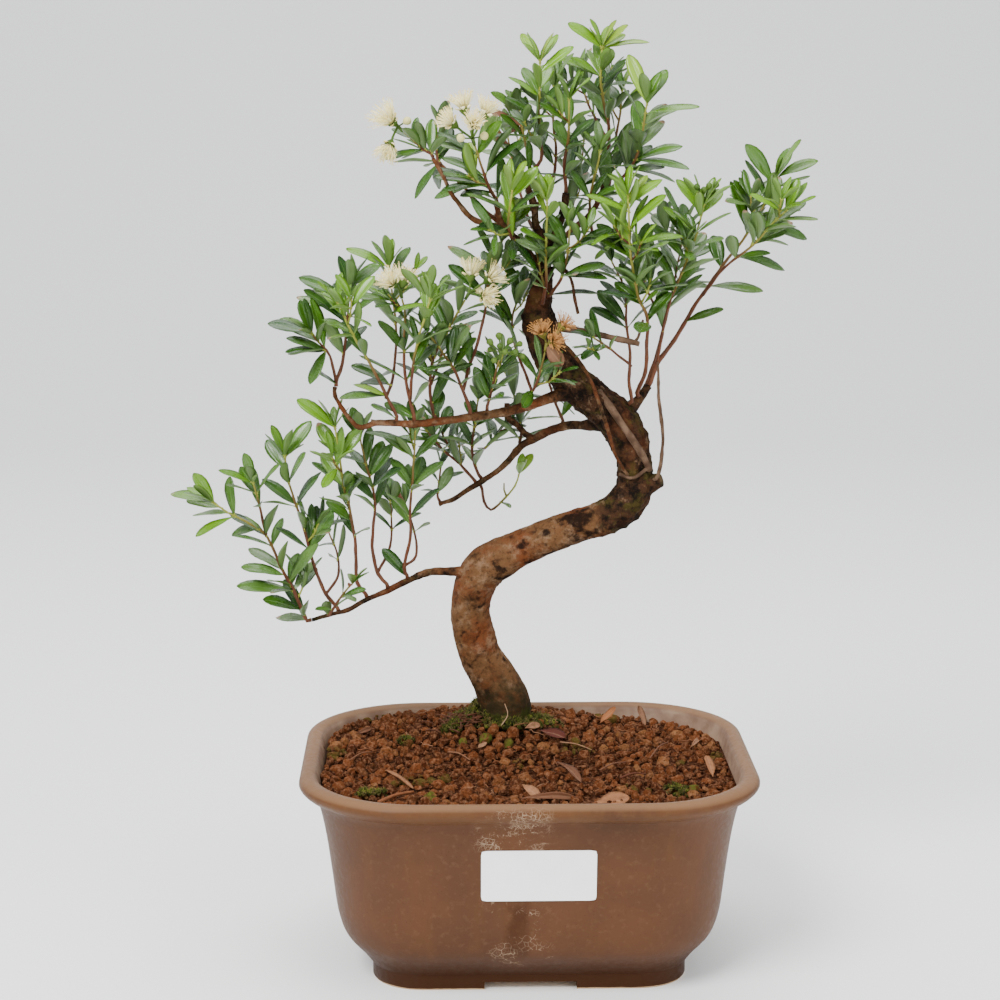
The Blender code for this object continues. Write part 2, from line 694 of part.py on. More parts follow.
def tube(path, radii, sides, swell=None):
    """Corners and faces of a closed tube; swell(ring, corner) may change each radius."""
    verts = []
    across = Vector((1, 0, 0))
    if abs((path[1] - path[0]).normalized().x) > 0.8:
        across = Vector((0, 1, 0))
    for ring, (point, radius) in enumerate(zip(path, radii)):
        ahead = (path[min(ring + 1, len(path) - 1)] - path[max(ring - 1, 0)]).normalized()
        across = (across - ahead * across.dot(ahead)).normalized()
        other = ahead.cross(across)
        for corner in range(sides):
            angle = math.tau * corner / sides
            reach = radius * (swell(ring, corner) if swell else 1)
            verts.append(point + (across * math.cos(angle) + other * math.sin(angle)) * reach)
    faces = [tuple(reversed(range(sides)))]
    for ring in range(len(path) - 1):
        for corner in range(sides):
            low = ring * sides
            turn = (corner + 1) % sides
            faces.append((low + corner, low + turn, low + sides + turn, low + sides + corner))
    faces.append(tuple(range(len(verts) - sides, len(verts))))
    return verts, faces


def taper(start, end, count):
    return [start + (end - start) * index / (count - 1) for index in range(count)]


def leaf_shell(leaf, swell=0.0, start=0.0):
    """Corners and faces of a closed blade, flat above, keeled below and arched along its rib."""
    def rib(share):
        arch = leaf.length * LEAF_ARCH * 4 * share * (1 - share)
        return leaf.base + leaf.along * leaf.length * share + leaf.up * arch

    verts = [rib(start) - leaf.up * END_KEEL]
    for share, breadth in LEAF_SECTIONS:
        half = leaf.side * (leaf.breadth * breadth / 2 + swell)
        middle = rib(max(share, start + 0.1))
        verts += [middle - half + leaf.up * swell, middle + half + leaf.up * swell]
        verts.append(middle - leaf.up * (LEAF_KEEL + swell))
    verts.append(rib(1.0) + leaf.along * swell - leaf.up * END_KEEL)
    faces = [(0, 1, 2), (0, 2, 3), (0, 3, 1)]
    for corner in range(3):
        turn = (corner + 1) % 3
        faces.append((1 + turn, 1 + corner, 4 + corner, 4 + turn))
    faces += [(5, 4, 7), (6, 5, 7), (4, 6, 7)]
    return verts, faces


class Solid:
    """A shape that others have to keep clear of."""

    def __init__(self, verts, faces):
        self.tree = BVHTree.FromPolygons(verts, faces)
        self.low = [min(v[axis] for v in verts) for axis in range(3)]
        self.high = [max(v[axis] for v in verts) for axis in range(3)]

    def meets(self, others):
        for other in others:
            apart = any(
                self.high[axis] < other.low[axis] or other.high[axis] < self.low[axis] for axis in range(3)
            )
            if not apart and self.tree.overlap(other.tree):
                return True
        return False


def trunk_path():
    rows = [point.copy() for point in TRUNK_FOOT] + [seen(*row[:3]) for row in TRUNK]
    thick = [TRUNK_FOOT_THICK, TRUNK_FOOT_THICK] + [row[3] for row in TRUNK]
    path = [Vector((*point, size)) for point, size in zip(rows, thick)]
    fine = smooth(path, TRUNK_STEP)
    return [point.xyz for point in fine], [point.w / 2 for point in fine]


def trunk_shell(extra=0.0, rings=None):
    """The trunk's uneven body; extra widens it, for the hole that it stands in."""
    path, radii = trunk_path()
    draw = random.Random(SEED)
    dents = [[draw.uniform(-TRUNK_DENT, TRUNK_DENT) for _ in range(TRUNK_SIDES)] for _ in path]

    def swell(ring, corner):
        angle = math.tau * corner / TRUNK_SIDES
        waves = sum(share * math.sin(count * angle + ring * turn) for share, count, turn in TRUNK_WAVES)
        return 1 + waves + dents[ring][corner] + extra / radii[ring]

    rings = rings or len(path)
    path = path[:rings]
    if extra:
        path[0] = path[0] - (path[1] - path[0]).normalized() * extra
    return tube(path, radii[:rings], TRUNK_SIDES, swell)


def limb_shell(name):
    start, end, rows = LIMBS[name]
    path = smooth([seen(*row) for row in rows], LIMB_STEP)
    return tube(path, taper(start / 2, end / 2, len(path)), LIMB_SIDES)


def blade(base, along, length, breadth, young, lift):
    """A leaf with its upper face towards the light; lift is the way that light comes from."""
    along = along.normalized()
    up = lift - along * lift.dot(along)
    if up.length < 0.2:
        up = along.orthogonal()
    up.normalize()
    return Leaf(base, along, along.cross(up), up, length, breadth, young)


class Growth:
    """Grows the sprays one after another, each clear of all that stands already."""

    def __init__(self):
        self.draw = random.Random(SEED)
        self.wood = [Solid(*trunk_shell())] + [Solid(*limb_shell(name)) for name in LIMBS]
        self.stems = {}
        self.leaves = {name: [] for name in SPRAYS}
        self.solids = {name: [] for name in SPRAYS}
        self.clusters = {}

    def seat(self, point):
        """The nearest place on the wood, and the way out of it."""
        best = min((solid.tree.find_nearest(point) for solid in self.wood), key=lambda found: found[3])
        return best[0], best[1]

    def others(self, name):
        found = list(self.wood)
        for other, solids in self.solids.items():
            if other != name:
                found += solids
        return found

    def stem_path(self, name, row, bow):
        """A stem's path; bow moves its middle nearer or farther along the line of sight."""
        last = len(row.path) - 1
        points = []
        for index, (across, down, depth) in enumerate(row.path):
            share = math.sin(math.pi * min(1.0, index / last * 0.8))
            points.append(seen(across, down, depth + bow * share))
        if not self.stems.get(name):
            seat, out = self.seat(points[0])
            points[0] = seat + out * GAP
            points.insert(1, points[0] + out * STEM_RISE)
        return smooth(points, STEM_STEP)

    def grow_stem(self, name, row):
        others = self.others(name)
        for bow in STEM_BOWS:
            path = self.stem_path(name, row, bow)
            skip = 2 if not self.stems.get(name) else 0
            width = row.thick / 2 + CLEAR
            outer = Solid(*tube(path[skip:], taper(width, STEM_END + CLEAR, len(path) - skip), 4))
            if not outer.meets(others):
                break
        else:
            print("stem meets something:", name, row.path[-1])
        self.stems.setdefault(name, []).append((row, path))
        self.solids[name].append(Solid(*tube(path, taper(width, STEM_END + CLEAR, len(path)), 4)))

    def fits(self, name, leaf, others, mine):
        shape = Solid(*leaf_shell(leaf, CLEAR))
        if shape.meets(others):
            return None
        outer = Solid(*leaf_shell(leaf, CLOSE, LEAF_FREE))
        if outer.meets(mine):
            return None
        return shape

    def put(self, name, leaf, others, mine):
        shape = self.fits(name, leaf, others, mine)
        if shape:
            self.leaves[name].append(leaf)
            self.solids[name].append(shape)
            mine.append(Solid(*leaf_shell(leaf, CLOSE, LEAF_FREE)))
        return bool(shape)

    def reach_tip(self, name, row, path, tip, others, mine):
        """A leaf whose tip shows at this place in the front view."""
        choices = []
        shortest, longest = [row.leaf * share for share in TIP_REACH]
        for index in range(1, len(path)):
            for part in (0.0, 0.5):
                foot = path[index] + (path[index - 1] - path[index]) * part
                ahead = (path[index] - path[index - 1]).normalized()
                for nearer in (0, 5, -5, 10, -10):
                    reach = seen(*tip, foot.y + nearer) - foot
                    turn = reach.angle(ahead)
                    if shortest <= reach.length <= longest and turn <= TIP_TURN:
                        oddness = abs(turn - 0.8) + abs(reach.length - row.leaf) / row.leaf
                        choices.append((oddness, len(choices), foot, reach))
        for _, _, foot, reach in sorted(choices)[:12]:
            lift = Vector((self.draw.uniform(-0.4, 0.4), -0.55, 1.0))
            base = foot - reach.normalized() * LEAF_SINK
            leaf = blade(base, reach, reach.length, row.leaf * LEAF_BREADTH, row.young, lift)
            if self.put(name, leaf, others, mine):
                return
        print("no leaf reaches", name, tip)

    def leaf_pairs(self, name, row, path, others, mine):
        """Opposite pairs, each a quarter turn from the last, and a closer pair at the tip."""
        turn = self.draw.uniform(0, math.tau)
        across = (path[1] - path[0]).orthogonal().normalized()
        for pair in range(row.pairs):
            share = row.bare + (1 - row.bare) * (pair + 0.6) / (row.pairs - 0.4)
            spot = min(share, 1.0) * (len(path) - 1)
            index = min(int(spot), len(path) - 2)
            foot = path[index].lerp(path[index + 1], spot - index)
            ahead = (path[index + 1] - path[index]).normalized()
            across = (across - ahead * across.dot(ahead)).normalized()
            last = pair == row.pairs - 1
            spread = 0.45 if last else self.draw.uniform(0.85, 1.1)
            size = row.leaf * (0.85 if last else self.draw.uniform(0.9, 1.08))
            turn += math.pi / 2 + self.draw.uniform(-0.2, 0.2)
            for half in (0, math.pi):
                for shift, lean, shrink in LEAF_TRIES:
                    out = Matrix.Rotation(turn + half + shift, 3, ahead) @ across
                    angle = spread + lean
                    along = ahead * math.cos(angle) + out * math.sin(angle) + Vector((0, 0, 0.15))
                    lift = Vector((0, -0.15, 1.0)) + ahead * 0.5
                    length = size * shrink
                    base = foot - along.normalized() * LEAF_SINK
                    leaf = blade(base, along, length, length * LEAF_BREADTH, row.young, lift)
                    if self.put(name, leaf, others, mine):
                        break

    def grow_cluster(self, name, cluster):
        """Stalks, blooms and buds that carry on from the tip of a spray's first stem."""
        path = self.stems[cluster.spray][0][1]
        ahead = (path[-1] - path[-2]).normalized()
        foot = path[-1] + ahead * GAP
        fork = foot + ahead * FORK_REACH
        parts = []
        for across, down, depth, size in cluster.blooms:
            parts.append(("bloom", fork, seen(across, down, depth), size))
        for across, down, depth in cluster.buds:
            parts.append(("bud", fork, seen(across, down, depth), BUD_RADIUS))
        self.clusters[name] = (foot, fork, parts)
        solids = [Solid(*tube([foot + ahead * 0.4, fork + ahead], [1.2, 1.2], 4))]
        for _, start, heart, size in parts:
            way = (heart - start).normalized()
            solids.append(Solid(*tube([start, heart - way * size * 0.6], [1.2, 1.2], 4)))
            girth = [size * 0.6, size * 1.2 + 0.5, size * 1.0]
            solids.append(Solid(*tube([heart - way * size, heart, heart + way * size], girth, 6)))
        self.solids[name] = solids

    def run(self):
        for name, rows in SPRAYS.items():
            for row in rows:
                self.grow_stem(name, row)
        for name, cluster in CLUSTERS.items():
            self.grow_cluster(name, cluster)
        for name in SPRAYS:
            others = self.others(name)
            mine = []
            for row, path in self.stems[name]:
                for tip in row.tips:
                    self.reach_tip(name, row, path, tip, others, mine)
        for name in SPRAYS:
            others = self.others(name)
            mine = [Solid(*leaf_shell(leaf, CLOSE, LEAF_FREE)) for leaf in self.leaves[name]]
            for row, path in self.stems[name]:
                self.leaf_pairs(name, row, path, others, mine)


def make(name, verts, faces):
    """An object, in mm, from corners and faces, with its faces turned outwards."""
    mesh = bpy.data.meshes.new(name)
    mesh.from_pydata([tuple(v) for v in verts], [], faces)
    shape = bmesh.new()
    shape.from_mesh(mesh)
    bmesh.ops.recalc_face_normals(shape, faces=shape.faces)
    shape.to_mesh(mesh)
    shape.free()
    thing = bpy.data.objects.new(name, mesh)
    bpy.context.scene.collection.objects.link(thing)
    return thing


def apply_all(thing):
    """Turns what the modifiers make into the object's own mesh."""
    graph = bpy.context.evaluated_depsgraph_get()
    mesh = bpy.data.meshes.new_from_object(thing.evaluated_get(graph))
    thing.modifiers.clear()
    thing.data = mesh


def move_to(thing, group):
    for home in list(thing.users_collection):
        home.objects.unlink(thing)
    group.objects.link(thing)


def is_closed(mesh):
    shape = bmesh.new()
    shape.from_mesh(mesh)
    closed = all(edge.is_manifold for edge in shape.edges)
    shape.free()
    return closed


def combine(thing, parts, operation):
    """One Boolean of the object with all the parts, which are then removed."""
    group = bpy.data.collections.new(thing.name + "_parts")
    bpy.context.scene.collection.children.link(group)
    for part in parts:
        move_to(part, group)
    step = thing.modifiers.new("join", "BOOLEAN")
    step.operation = operation
    step.operand_type = "COLLECTION"
    step.collection = group
    before = thing.data
    for solver in ("EXACT", "MANIFOLD"):
        thing.data = before
        step.solver = solver
        graph = bpy.context.evaluated_depsgraph_get()
        joined = bpy.data.meshes.new_from_object(thing.evaluated_get(graph))
        if is_closed(joined):
            break
    thing.modifiers.clear()
    thing.data = joined
    for part in parts:
        bpy.data.objects.remove(part)
    bpy.data.collections.remove(group)


def pot_outline(inset, corner, height):
    """A rounded rectangle: the pot's section at this height."""
    points = []
    for quarter in range(4):
        for step in range(CORNER_STEPS + 1):
            angle = math.pi / 2 * (quarter + step / CORNER_STEPS)
            side_x = 1 if quarter in (0, 3) else -1
            side_y = 1 if quarter in (0, 1) else -1
            points.append(Vector((
                side_x * (POT_LENGTH / 2 - inset - corner) + corner * math.cos(angle),
                side_y * (POT_WIDTH / 2 - inset - corner) + corner * math.sin(angle),
                height,
            )))
    return points


def loft(name, sections):
    """A closed body through rings of equal count, flat at both ends."""
    count = len(sections[0])
    verts = [point for section in sections for point in section]
    faces = [tuple(range(count)), tuple(range(len(verts) - count, len(verts)))]
    for ring in range(len(sections) - 1):
        for corner in range(count):
            low = ring * count
            turn = (corner + 1) % count
            faces.append((low + corner, low + turn, low + count + turn, low + count + corner))
    return make(name, verts, faces)


def block(name, size, centre):
    bpy.ops.mesh.primitive_cube_add(size=1)
    thing = bpy.context.object
    thing.name = name
    thing.data.transform(Matrix.Translation(centre) @ Matrix.Diagonal((*size, 1)))
    return thing


def build_pot():
    rows = FOOT_RECESS + POT_OUTSIDE + POT_INSIDE
    pot = loft("pot", [pot_outline(*row) for row in rows])
    foot_x = POT_LENGTH - 2 * POT_OUTSIDE[1][0] + NOTCH_PAST
    foot_y = POT_WIDTH - 2 * POT_OUTSIDE[1][0] + NOTCH_PAST
    cutters = [
        block("notch_front_back", (NOTCH_FRONT, foot_y, NOTCH_HEIGHT * 2), (0, 0, 0)),
        block("notch_sides", (foot_x, NOTCH_SIDE, NOTCH_HEIGHT * 2), (0, 0, 0)),
    ]
    for side in (-1, 1):
        spot = (side * DRAIN_AT, 0, FLOOR_TOP / 2)
        bpy.ops.mesh.primitive_cylinder_add(
            vertices=DRAIN_SIDES, radius=DRAIN_RADIUS, depth=2 * FLOOR_TOP, location=spot,
        )
        cutters.append(bpy.context.object)
    combine(pot, cutters, "DIFFERENCE")
    return pot


def wall_inset(height):
    """How far the pot's outside lies in from the rim at this height."""
    for low, high in zip(POT_OUTSIDE, POT_OUTSIDE[1:]):
        if low[2] <= height <= high[2] and high[2] > low[2]:
            share = (height - low[2]) / (high[2] - low[2])
            return low[0] + (high[0] - low[0]) * share
    return 0.0


def build_label():
    """A thin sheet bent to the front wall, with rounded corners."""
    shape = bmesh.new()
    bmesh.ops.create_grid(shape, x_segments=1, y_segments=1, size=0.5)
    width = LABEL_RIGHT - LABEL_LEFT
    height = LABEL_HIGH - LABEL_LOW
    bmesh.ops.scale(shape, vec=(width, height, 1), verts=shape.verts)
    corners = shape.verts[:]
    bmesh.ops.bevel(shape, geom=corners, offset=LABEL_CORNER, segments=3, profile=0.5, affect="VERTICES")
    bends = [row[2] for row in POT_OUTSIDE if LABEL_LOW < row[2] < LABEL_HIGH]
    for bend in bends:
        cut = Vector((0, bend - (LABEL_LOW + LABEL_HIGH) / 2, 0))
        bmesh.ops.bisect_plane(shape, geom=shape.verts[:] + shape.edges[:] + shape.faces[:], plane_co=cut,
                               plane_no=(0, 1, 0))
    for vert in shape.verts:
        high = vert.co.y + (LABEL_LOW + LABEL_HIGH) / 2
        front = -(POT_WIDTH / 2 - wall_inset(high)) - GAP
        vert.co = (vert.co.x + (LABEL_LEFT + LABEL_RIGHT) / 2, front, high)
    mesh = bpy.data.meshes.new("blank_label")
    shape.to_mesh(mesh)
    shape.free()
    label = bpy.data.objects.new("blank_label", mesh)
    bpy.context.scene.collection.objects.link(label)
    skin = label.modifiers.new("thickness", "SOLIDIFY")
    skin.thickness = LABEL_THICK
    skin.offset = 1
    apply_all(label)
    return label


def soil_height(x, y):
    """The soil's level before its grains: mounded round the trunk."""
    away = (x - TRUNK_FOOT[1].x) ** 2 + (y - TRUNK_FOOT[1].y) ** 2
    mound = MOUND_HEIGHT * math.exp(-away / (2 * MOUND_SPREAD ** 2))
    return SOIL_LEVEL + mound + SOIL_SLOPE[0] * x + SOIL_SLOPE[1] * y


def build_soil():
    """The filling, with a surface of coarse grains and a plain hole for the trunk."""
    inside = POT_INSIDE[:-1]
    rows = [(inset + GAP, corner, max(height, FLOOR_TOP + 2.0)) for inset, corner, height in inside]
    rows.reverse()
    rows.append((rows[-1][0], rows[-1][1], SOIL_LEVEL + 40))
    soil = loft("soil", [pot_outline(*row) for row in rows])

    draw = random.Random(SEED + 1)
    shape = bmesh.new()
    columns, rows = round(POT_LENGTH / GRAIN), round(POT_WIDTH / GRAIN)
    bmesh.ops.create_grid(shape, x_segments=columns, y_segments=rows, size=0.5)
    bmesh.ops.scale(shape, vec=(POT_LENGTH, POT_WIDTH, 1), verts=shape.verts)
    for vert in shape.verts:
        vert.co.x += draw.uniform(-1, 1) * GRAIN * GRAIN_SHIFT
        vert.co.y += draw.uniform(-1, 1) * GRAIN * GRAIN_SHIFT
    tops = bmesh.ops.poke(shape, faces=shape.faces[:])["verts"]
    rise = {vert: GRAIN_RISE * draw.uniform(*GRAIN_RISES) for vert in tops}
    for vert in shape.verts:
        vert.co.z = soil_height(vert.co.x, vert.co.y) - GRAIN_RISE + rise.get(vert, 0.0)
    floor = bmesh.ops.extrude_face_region(shape, geom=shape.faces[:])["geom"]
    for item in floor:
        if isinstance(item, bmesh.types.BMVert):
            item.co.z = SOIL_FOOT
    bmesh.ops.recalc_face_normals(shape, faces=shape.faces)
    mesh = bpy.data.meshes.new("grain_surface")
    shape.to_mesh(mesh)
    shape.free()
    grains = bpy.data.objects.new("grain_surface", mesh)
    bpy.context.scene.collection.objects.link(grains)
    combine(soil, [grains], "INTERSECT")
    combine(soil, [make("trunk_hole", *trunk_shell(GAP * 2, TRUNK_RINGS_LOW))], "DIFFERENCE")
    return soil


def build_drain_mesh(side):
    """A square of plastic netting over a drain hole."""
    name = "drain_mesh_left" if side < 0 else "drain_mesh_right"
    middle = Vector((side * DRAIN_AT, 0, FLOOR_TOP + GAP + MESH_THICK / 2))
    netting = block(name, (MESH_SIDE, MESH_SIDE, MESH_THICK), middle)
    cell = (MESH_SIDE - MESH_WIRE) / 2
    holes = []
    for x in (-0.5, 0.5):
        for y in (-0.5, 0.5):
            spot = middle + Vector((x, y, 0)) * cell
            holes.append(block("mesh_hole", (cell - MESH_WIRE, cell - MESH_WIRE, 5), spot))
    combine(netting, holes, "DIFFERENCE")
    return netting


def build_wood():
    wood = make("trunk_and_branches", *trunk_shell())
    combine(wood, [make(name, *limb_shell(name)) for name in LIMBS], "UNION")
    return wood


def build_spray(name, growth):
    """The spray's stems and leaves in one body."""
    shapes = []
    for row, path in growth.stems[name]:
        shapes.append(tube(path, taper(row.thick / 2, STEM_END, len(path)), 3))
    shapes += [leaf_shell(leaf) for leaf in growth.leaves[name]]
    parts = [make(name + "_part", *shape) for shape in shapes]
    parts[0].name = name
    combine(parts[0], parts[1:], "UNION")
    return parts[0]


def spike(foot, tip, thick):
    """A three-sided point."""
    verts, _ = tube([foot, tip], [thick / 2, thick / 2], 3)
    return verts[:3] + [tip], [(2, 1, 0), (0, 1, 3), (1, 2, 3), (2, 0, 3)]


def ray_spikes(cup, way, size):
    """Fine pointed rays that fan out from a bloom's cup, clear of each other at their feet."""
    spikes = []
    side = way.orthogonal().normalized()
    for count, ring, lean in BLOOM_RAYS:
        for ray in range(count):
            out = Matrix.Rotation(math.tau * (ray + ring / 3) / count, 3, way) @ side
            along = way * math.cos(lean) + out * math.sin(lean)
            foot = cup + out * ring - way * 0.6
            spikes.append(spike(foot, foot + along * size, RAY_THICK))
    return spikes


def build_cluster(name, growth):
    """Stalks with cups, rays and buds in one body."""
    foot, fork, parts = growth.clusters[name]
    shapes = [tube([foot, fork + (fork - foot) * 0.3], [STALK, STALK * 1.6], 5)]
    low, high, depth = CUP
    for kind, start, heart, size in parts:
        way = (heart - start).normalized()
        start = start + way * 0.2
        if kind == "bud":
            shapes.append(tube([start, heart], [STALK, STALK], 3))
            girth = [STALK * 1.2, size, STALK * 0.8]
            shapes.append(tube([heart - way * size, heart, heart + way * size], girth, 5))
            continue
        cup = heart - way * size * 0.35
        shapes.append(tube([start, cup - way * depth * 0.8], [STALK, STALK], 3))
        shapes.append(tube([cup - way * depth, cup], [low, high], 6))
        shapes += ray_spikes(cup, way, size * 1.25)
    parts = [make(name + "_part", *shape) for shape in shapes]
    parts[0].name = name
    combine(parts[0], parts[1:], "UNION")
    return parts[0]


def lay(thing, ground):
    """Lowers a piece until it lies just above the grains."""
    graph = bpy.context.evaluated_depsgraph_get()
    upper = BVHTree.FromObject(thing, graph)
    lower = BVHTree.FromObject(ground, graph)
    drops = []
    for body, other, way in ((ground, upper, 1), (thing, lower, -1)):
        for edge in body.data.edges:
            start, end = [body.data.vertices[index].co for index in edge.vertices]
            for step in range(LAY_STEPS + 1):
                drops.append(other.ray_cast(start.lerp(end, step / LAY_STEPS), Vector((0, 0, way)))[3])
    drop = min(found for found in drops if found is not None)
    thing.data.transform(Matrix.Translation((0, 0, GAP - drop)))


def build_litter(name, soil):
    """A dry leaf or stick, laid on the grains."""
    start, end, breadth, rise = LITTER[name]
    base = Vector((*start, SOIL_LEVEL + DROP_FROM))
    reach = Vector((*end, SOIL_LEVEL + DROP_FROM + rise)) - base
    if name == "fallen_stick":
        path = smooth([base, base + reach * 0.5 + Vector((0, 2, 0.4)), base + reach], 9.0)
        shape = tube(path, taper(breadth / 2, breadth / 3, len(path)), 5)
    else:
        shape = leaf_shell(blade(base, reach, reach.length, breadth, 0, Vector((0.1, -0.2, 1))))
    thing = make(name, *shape)
    lay(thing, soil)
    return thing


def paint(thing, look):
    colour, rough = PAINT[look]
    material = bpy.data.materials.get(look) or bpy.data.materials.new(look)
    material.use_nodes = True
    shader = material.node_tree.nodes["Principled BSDF"]
    shader.inputs["Base Color"].default_value = (*colour, 1)
    shader.inputs["Roughness"].default_value = rough
    shader.inputs["Metallic"].default_value = 0.0
    thing.data.materials.clear()
    thing.data.materials.append(material)


def main():
    for thing in list(bpy.data.objects):
        bpy.data.objects.remove(thing)
    looks = {}
    looks[build_pot()] = "pot"
    looks[build_label()] = "label"
    soil = build_soil()
    looks[soil] = "soil"
    for side in (-1, 1):
        looks[build_drain_mesh(side)] = "mesh"
    looks[build_wood()] = "bark"
    growth = Growth()
    growth.run()
    for name in SPRAYS:
        looks[build_spray(name, growth)] = "leaf"
    for name in CLUSTERS:
        look = "dry" if name.startswith("dry") else "bud" if name.startswith("buds") else "flower"
        looks[build_cluster(name, growth)] = look
    for name in LITTER:
        looks[build_litter(name, soil)] = "dry"

    low = [min(v.co[axis] for thing in looks for v in thing.data.vertices) for axis in range(3)]
    high = [max(v.co[axis] for thing in looks for v in thing.data.vertices) for axis in range(3)]
    middle = Vector(((low[0] + high[0]) / 2, (low[1] + high[1]) / 2, low[2]))
    place = Matrix.Scale(MM, 4) @ Matrix.Translation(-middle)
    model = bpy.data.collections.new("syzygium_bonsai")
    bpy.context.scene.collection.children.link(model)
    for thing, look in looks.items():
        thing.data.transform(place)
        paint(thing, look)
        move_to(thing, model)
    print("moved by:", [round(-value, 3) for value in middle])
    print("triangles:", sum(len(p.vertices) - 2 for thing in looks for p in thing.data.polygons))
    print("leaves:", sum(len(found) for found in growth.leaves.values()), "nodes:", len(looks))


main()
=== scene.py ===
"""Looks of the syzygium bonsai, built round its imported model.

The shapes are worked out in millimetres with the pot's foot centred on the origin, from the same named
values as the model, and each piece is put in its place in metres when it is made.
"""
import math
import random
from collections import namedtuple

import bmesh
import bpy
from mathutils import Matrix, Vector, noise
from mathutils.bvhtree import BVHTree


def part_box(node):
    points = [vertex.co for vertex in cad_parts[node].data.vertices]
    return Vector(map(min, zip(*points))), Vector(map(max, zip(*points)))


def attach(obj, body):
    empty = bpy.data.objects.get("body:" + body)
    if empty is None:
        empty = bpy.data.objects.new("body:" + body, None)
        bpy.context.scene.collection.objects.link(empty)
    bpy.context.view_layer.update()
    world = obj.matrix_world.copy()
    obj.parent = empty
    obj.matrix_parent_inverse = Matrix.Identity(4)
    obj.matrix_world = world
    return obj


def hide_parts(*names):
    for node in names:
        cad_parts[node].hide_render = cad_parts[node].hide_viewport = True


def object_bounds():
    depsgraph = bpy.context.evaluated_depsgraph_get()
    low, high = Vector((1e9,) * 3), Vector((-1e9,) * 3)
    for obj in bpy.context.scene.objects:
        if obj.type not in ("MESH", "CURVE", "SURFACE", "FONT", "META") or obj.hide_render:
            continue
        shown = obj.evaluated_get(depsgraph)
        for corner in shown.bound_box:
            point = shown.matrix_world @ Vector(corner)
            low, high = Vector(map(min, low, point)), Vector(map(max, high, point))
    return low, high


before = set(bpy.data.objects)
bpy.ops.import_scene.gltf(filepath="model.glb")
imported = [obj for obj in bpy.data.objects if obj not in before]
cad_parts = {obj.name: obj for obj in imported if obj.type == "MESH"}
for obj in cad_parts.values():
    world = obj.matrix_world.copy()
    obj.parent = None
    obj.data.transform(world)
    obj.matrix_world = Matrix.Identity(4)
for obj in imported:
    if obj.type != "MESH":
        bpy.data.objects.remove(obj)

CAD_LOW, CAD_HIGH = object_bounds()
POT_LOW, POT_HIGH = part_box("pot")
POT_PLACE = Vector(((POT_LOW.x + POT_HIGH.x) / 2, (POT_LOW.y + POT_HIGH.y) / 2, 0))

MM = 0.001
GAP = 0.3  # between pieces that touch

# Pot
POT_LENGTH = 220.0
POT_WIDTH = 190.0
# Inset from the rim's outline, corner radius and height of each section of the pot
FOOT_RECESS = ((46.0, 17.0, 3.9), (43.4, 18.0, 0.0))
POT_OUTSIDE = (
    (35.2, 23.5, 0.0), (34.4, 24.0, 1.2), (34.4, 24.0, 7.5), (29.2, 31.0, 13.5), (21.5, 40.0, 22.0),
    (17.6, 45.0, 33.0), (15.2, 48.5, 50.0), (12.7, 51.0, 68.0), (10.0, 53.0, 82.0), (7.2, 54.0, 90.0),
    (2.6, 55.5, 93.0), (0.0, 56.0, 96.6), (0.9, 55.6, 99.4), (3.8, 54.6, 101.0), (7.2, 53.0, 100.0),
    (8.6, 52.2, 97.5),
)
POT_INSIDE = (
    (9.8, 51.5, 92.0), (14.5, 48.0, 82.0), (21.0, 42.0, 50.0), (31.0, 33.0, 22.0), (41.0, 25.0, 14.0),
)
FLOOR_TOP = POT_INSIDE[-1][2]
NOTCH_FRONT = 44.0
NOTCH_SIDE = 34.0
NOTCH_HEIGHT = 4.0
FOOT_ROWS = 2  # first rows of the outside, which stay sharp
NOTCH_PAST = 10  # how far their cutters reach past the foot
DRAIN_AT = 36.0  # of each drain hole's centre from the pot's middle
DRAIN_RADIUS = 7.5

# Label on the front wall
LABEL_LEFT = -23.9
LABEL_RIGHT = 29.7
LABEL_LOW = 51.2
LABEL_HIGH = 76.7
LABEL_CORNER = 1.6
LABEL_THICK = 0.4

# Soil
SOIL_LEVEL = 94.5
SOIL_SLOPE = (-0.02, 0.015)  # per mm to the right and away
MOUND_HEIGHT = 13.0
MOUND_SPREAD = 34.0

# The front view that the tree is laid out in: where it is seen from, and a frame of 1000 by 1000 steps
# The pot stands turned a little in this view, its right side farther away.
EYE = Vector((-13.25, -1187.0, 439.6))
VIEW_DOWN = math.radians(10.2)
VIEW_TURN = math.radians(1.33)
VIEW_FOCAL = 2492.0
VIEW_MIDDLE = 500.0

# Trunk: place in the front view (across, down), depth in mm and diameter in mm
TRUNK_SIDES = 10
TRUNK_STEP = 10.0
TRUNK_DENT = 0.035  # share of the radius
TRUNK_WAVES = ((0.045, 2, 0.21), (0.03, 3, -0.5))  # share of the radius, count round it, turn per ring
TRUNK_FOOT = (Vector((-10.0, 42.0, 78.0)), Vector((-10.2, 41.0, 101.0)))
TRUNK_FOOT_THICK = 26.0
TRUNK = (
    (505, 703, 40, 26.0), (495, 679, 39, 22.5), (481, 655, 38, 20.5), (473, 631, 36, 20.0),
    (470, 607, 34, 18.8), (475, 584, 32, 20.0), (486, 568, 31, 20.5), (500, 559, 30, 20.0),
    (524, 547, 29, 17.5), (552, 535, 28, 17.0), (579, 525, 27, 16.5), (604, 517, 26, 17.5),
    (624, 505, 25, 19.0), (634, 488, 25, 19.0), (635, 472, 25, 18.5), (633, 456, 25, 19.0),
    (628, 441, 25, 20.5), (621, 426, 25, 21.0), (607, 410, 25, 20.0), (588, 395, 24, 19.5),
    (569, 378, 24, 19.0), (555, 360, 23, 18.0), (545, 340, 22, 18.5), (538, 318, 22, 16.5),
    (540, 298, 21, 12.0), (546, 278, 20, 8.0),
)

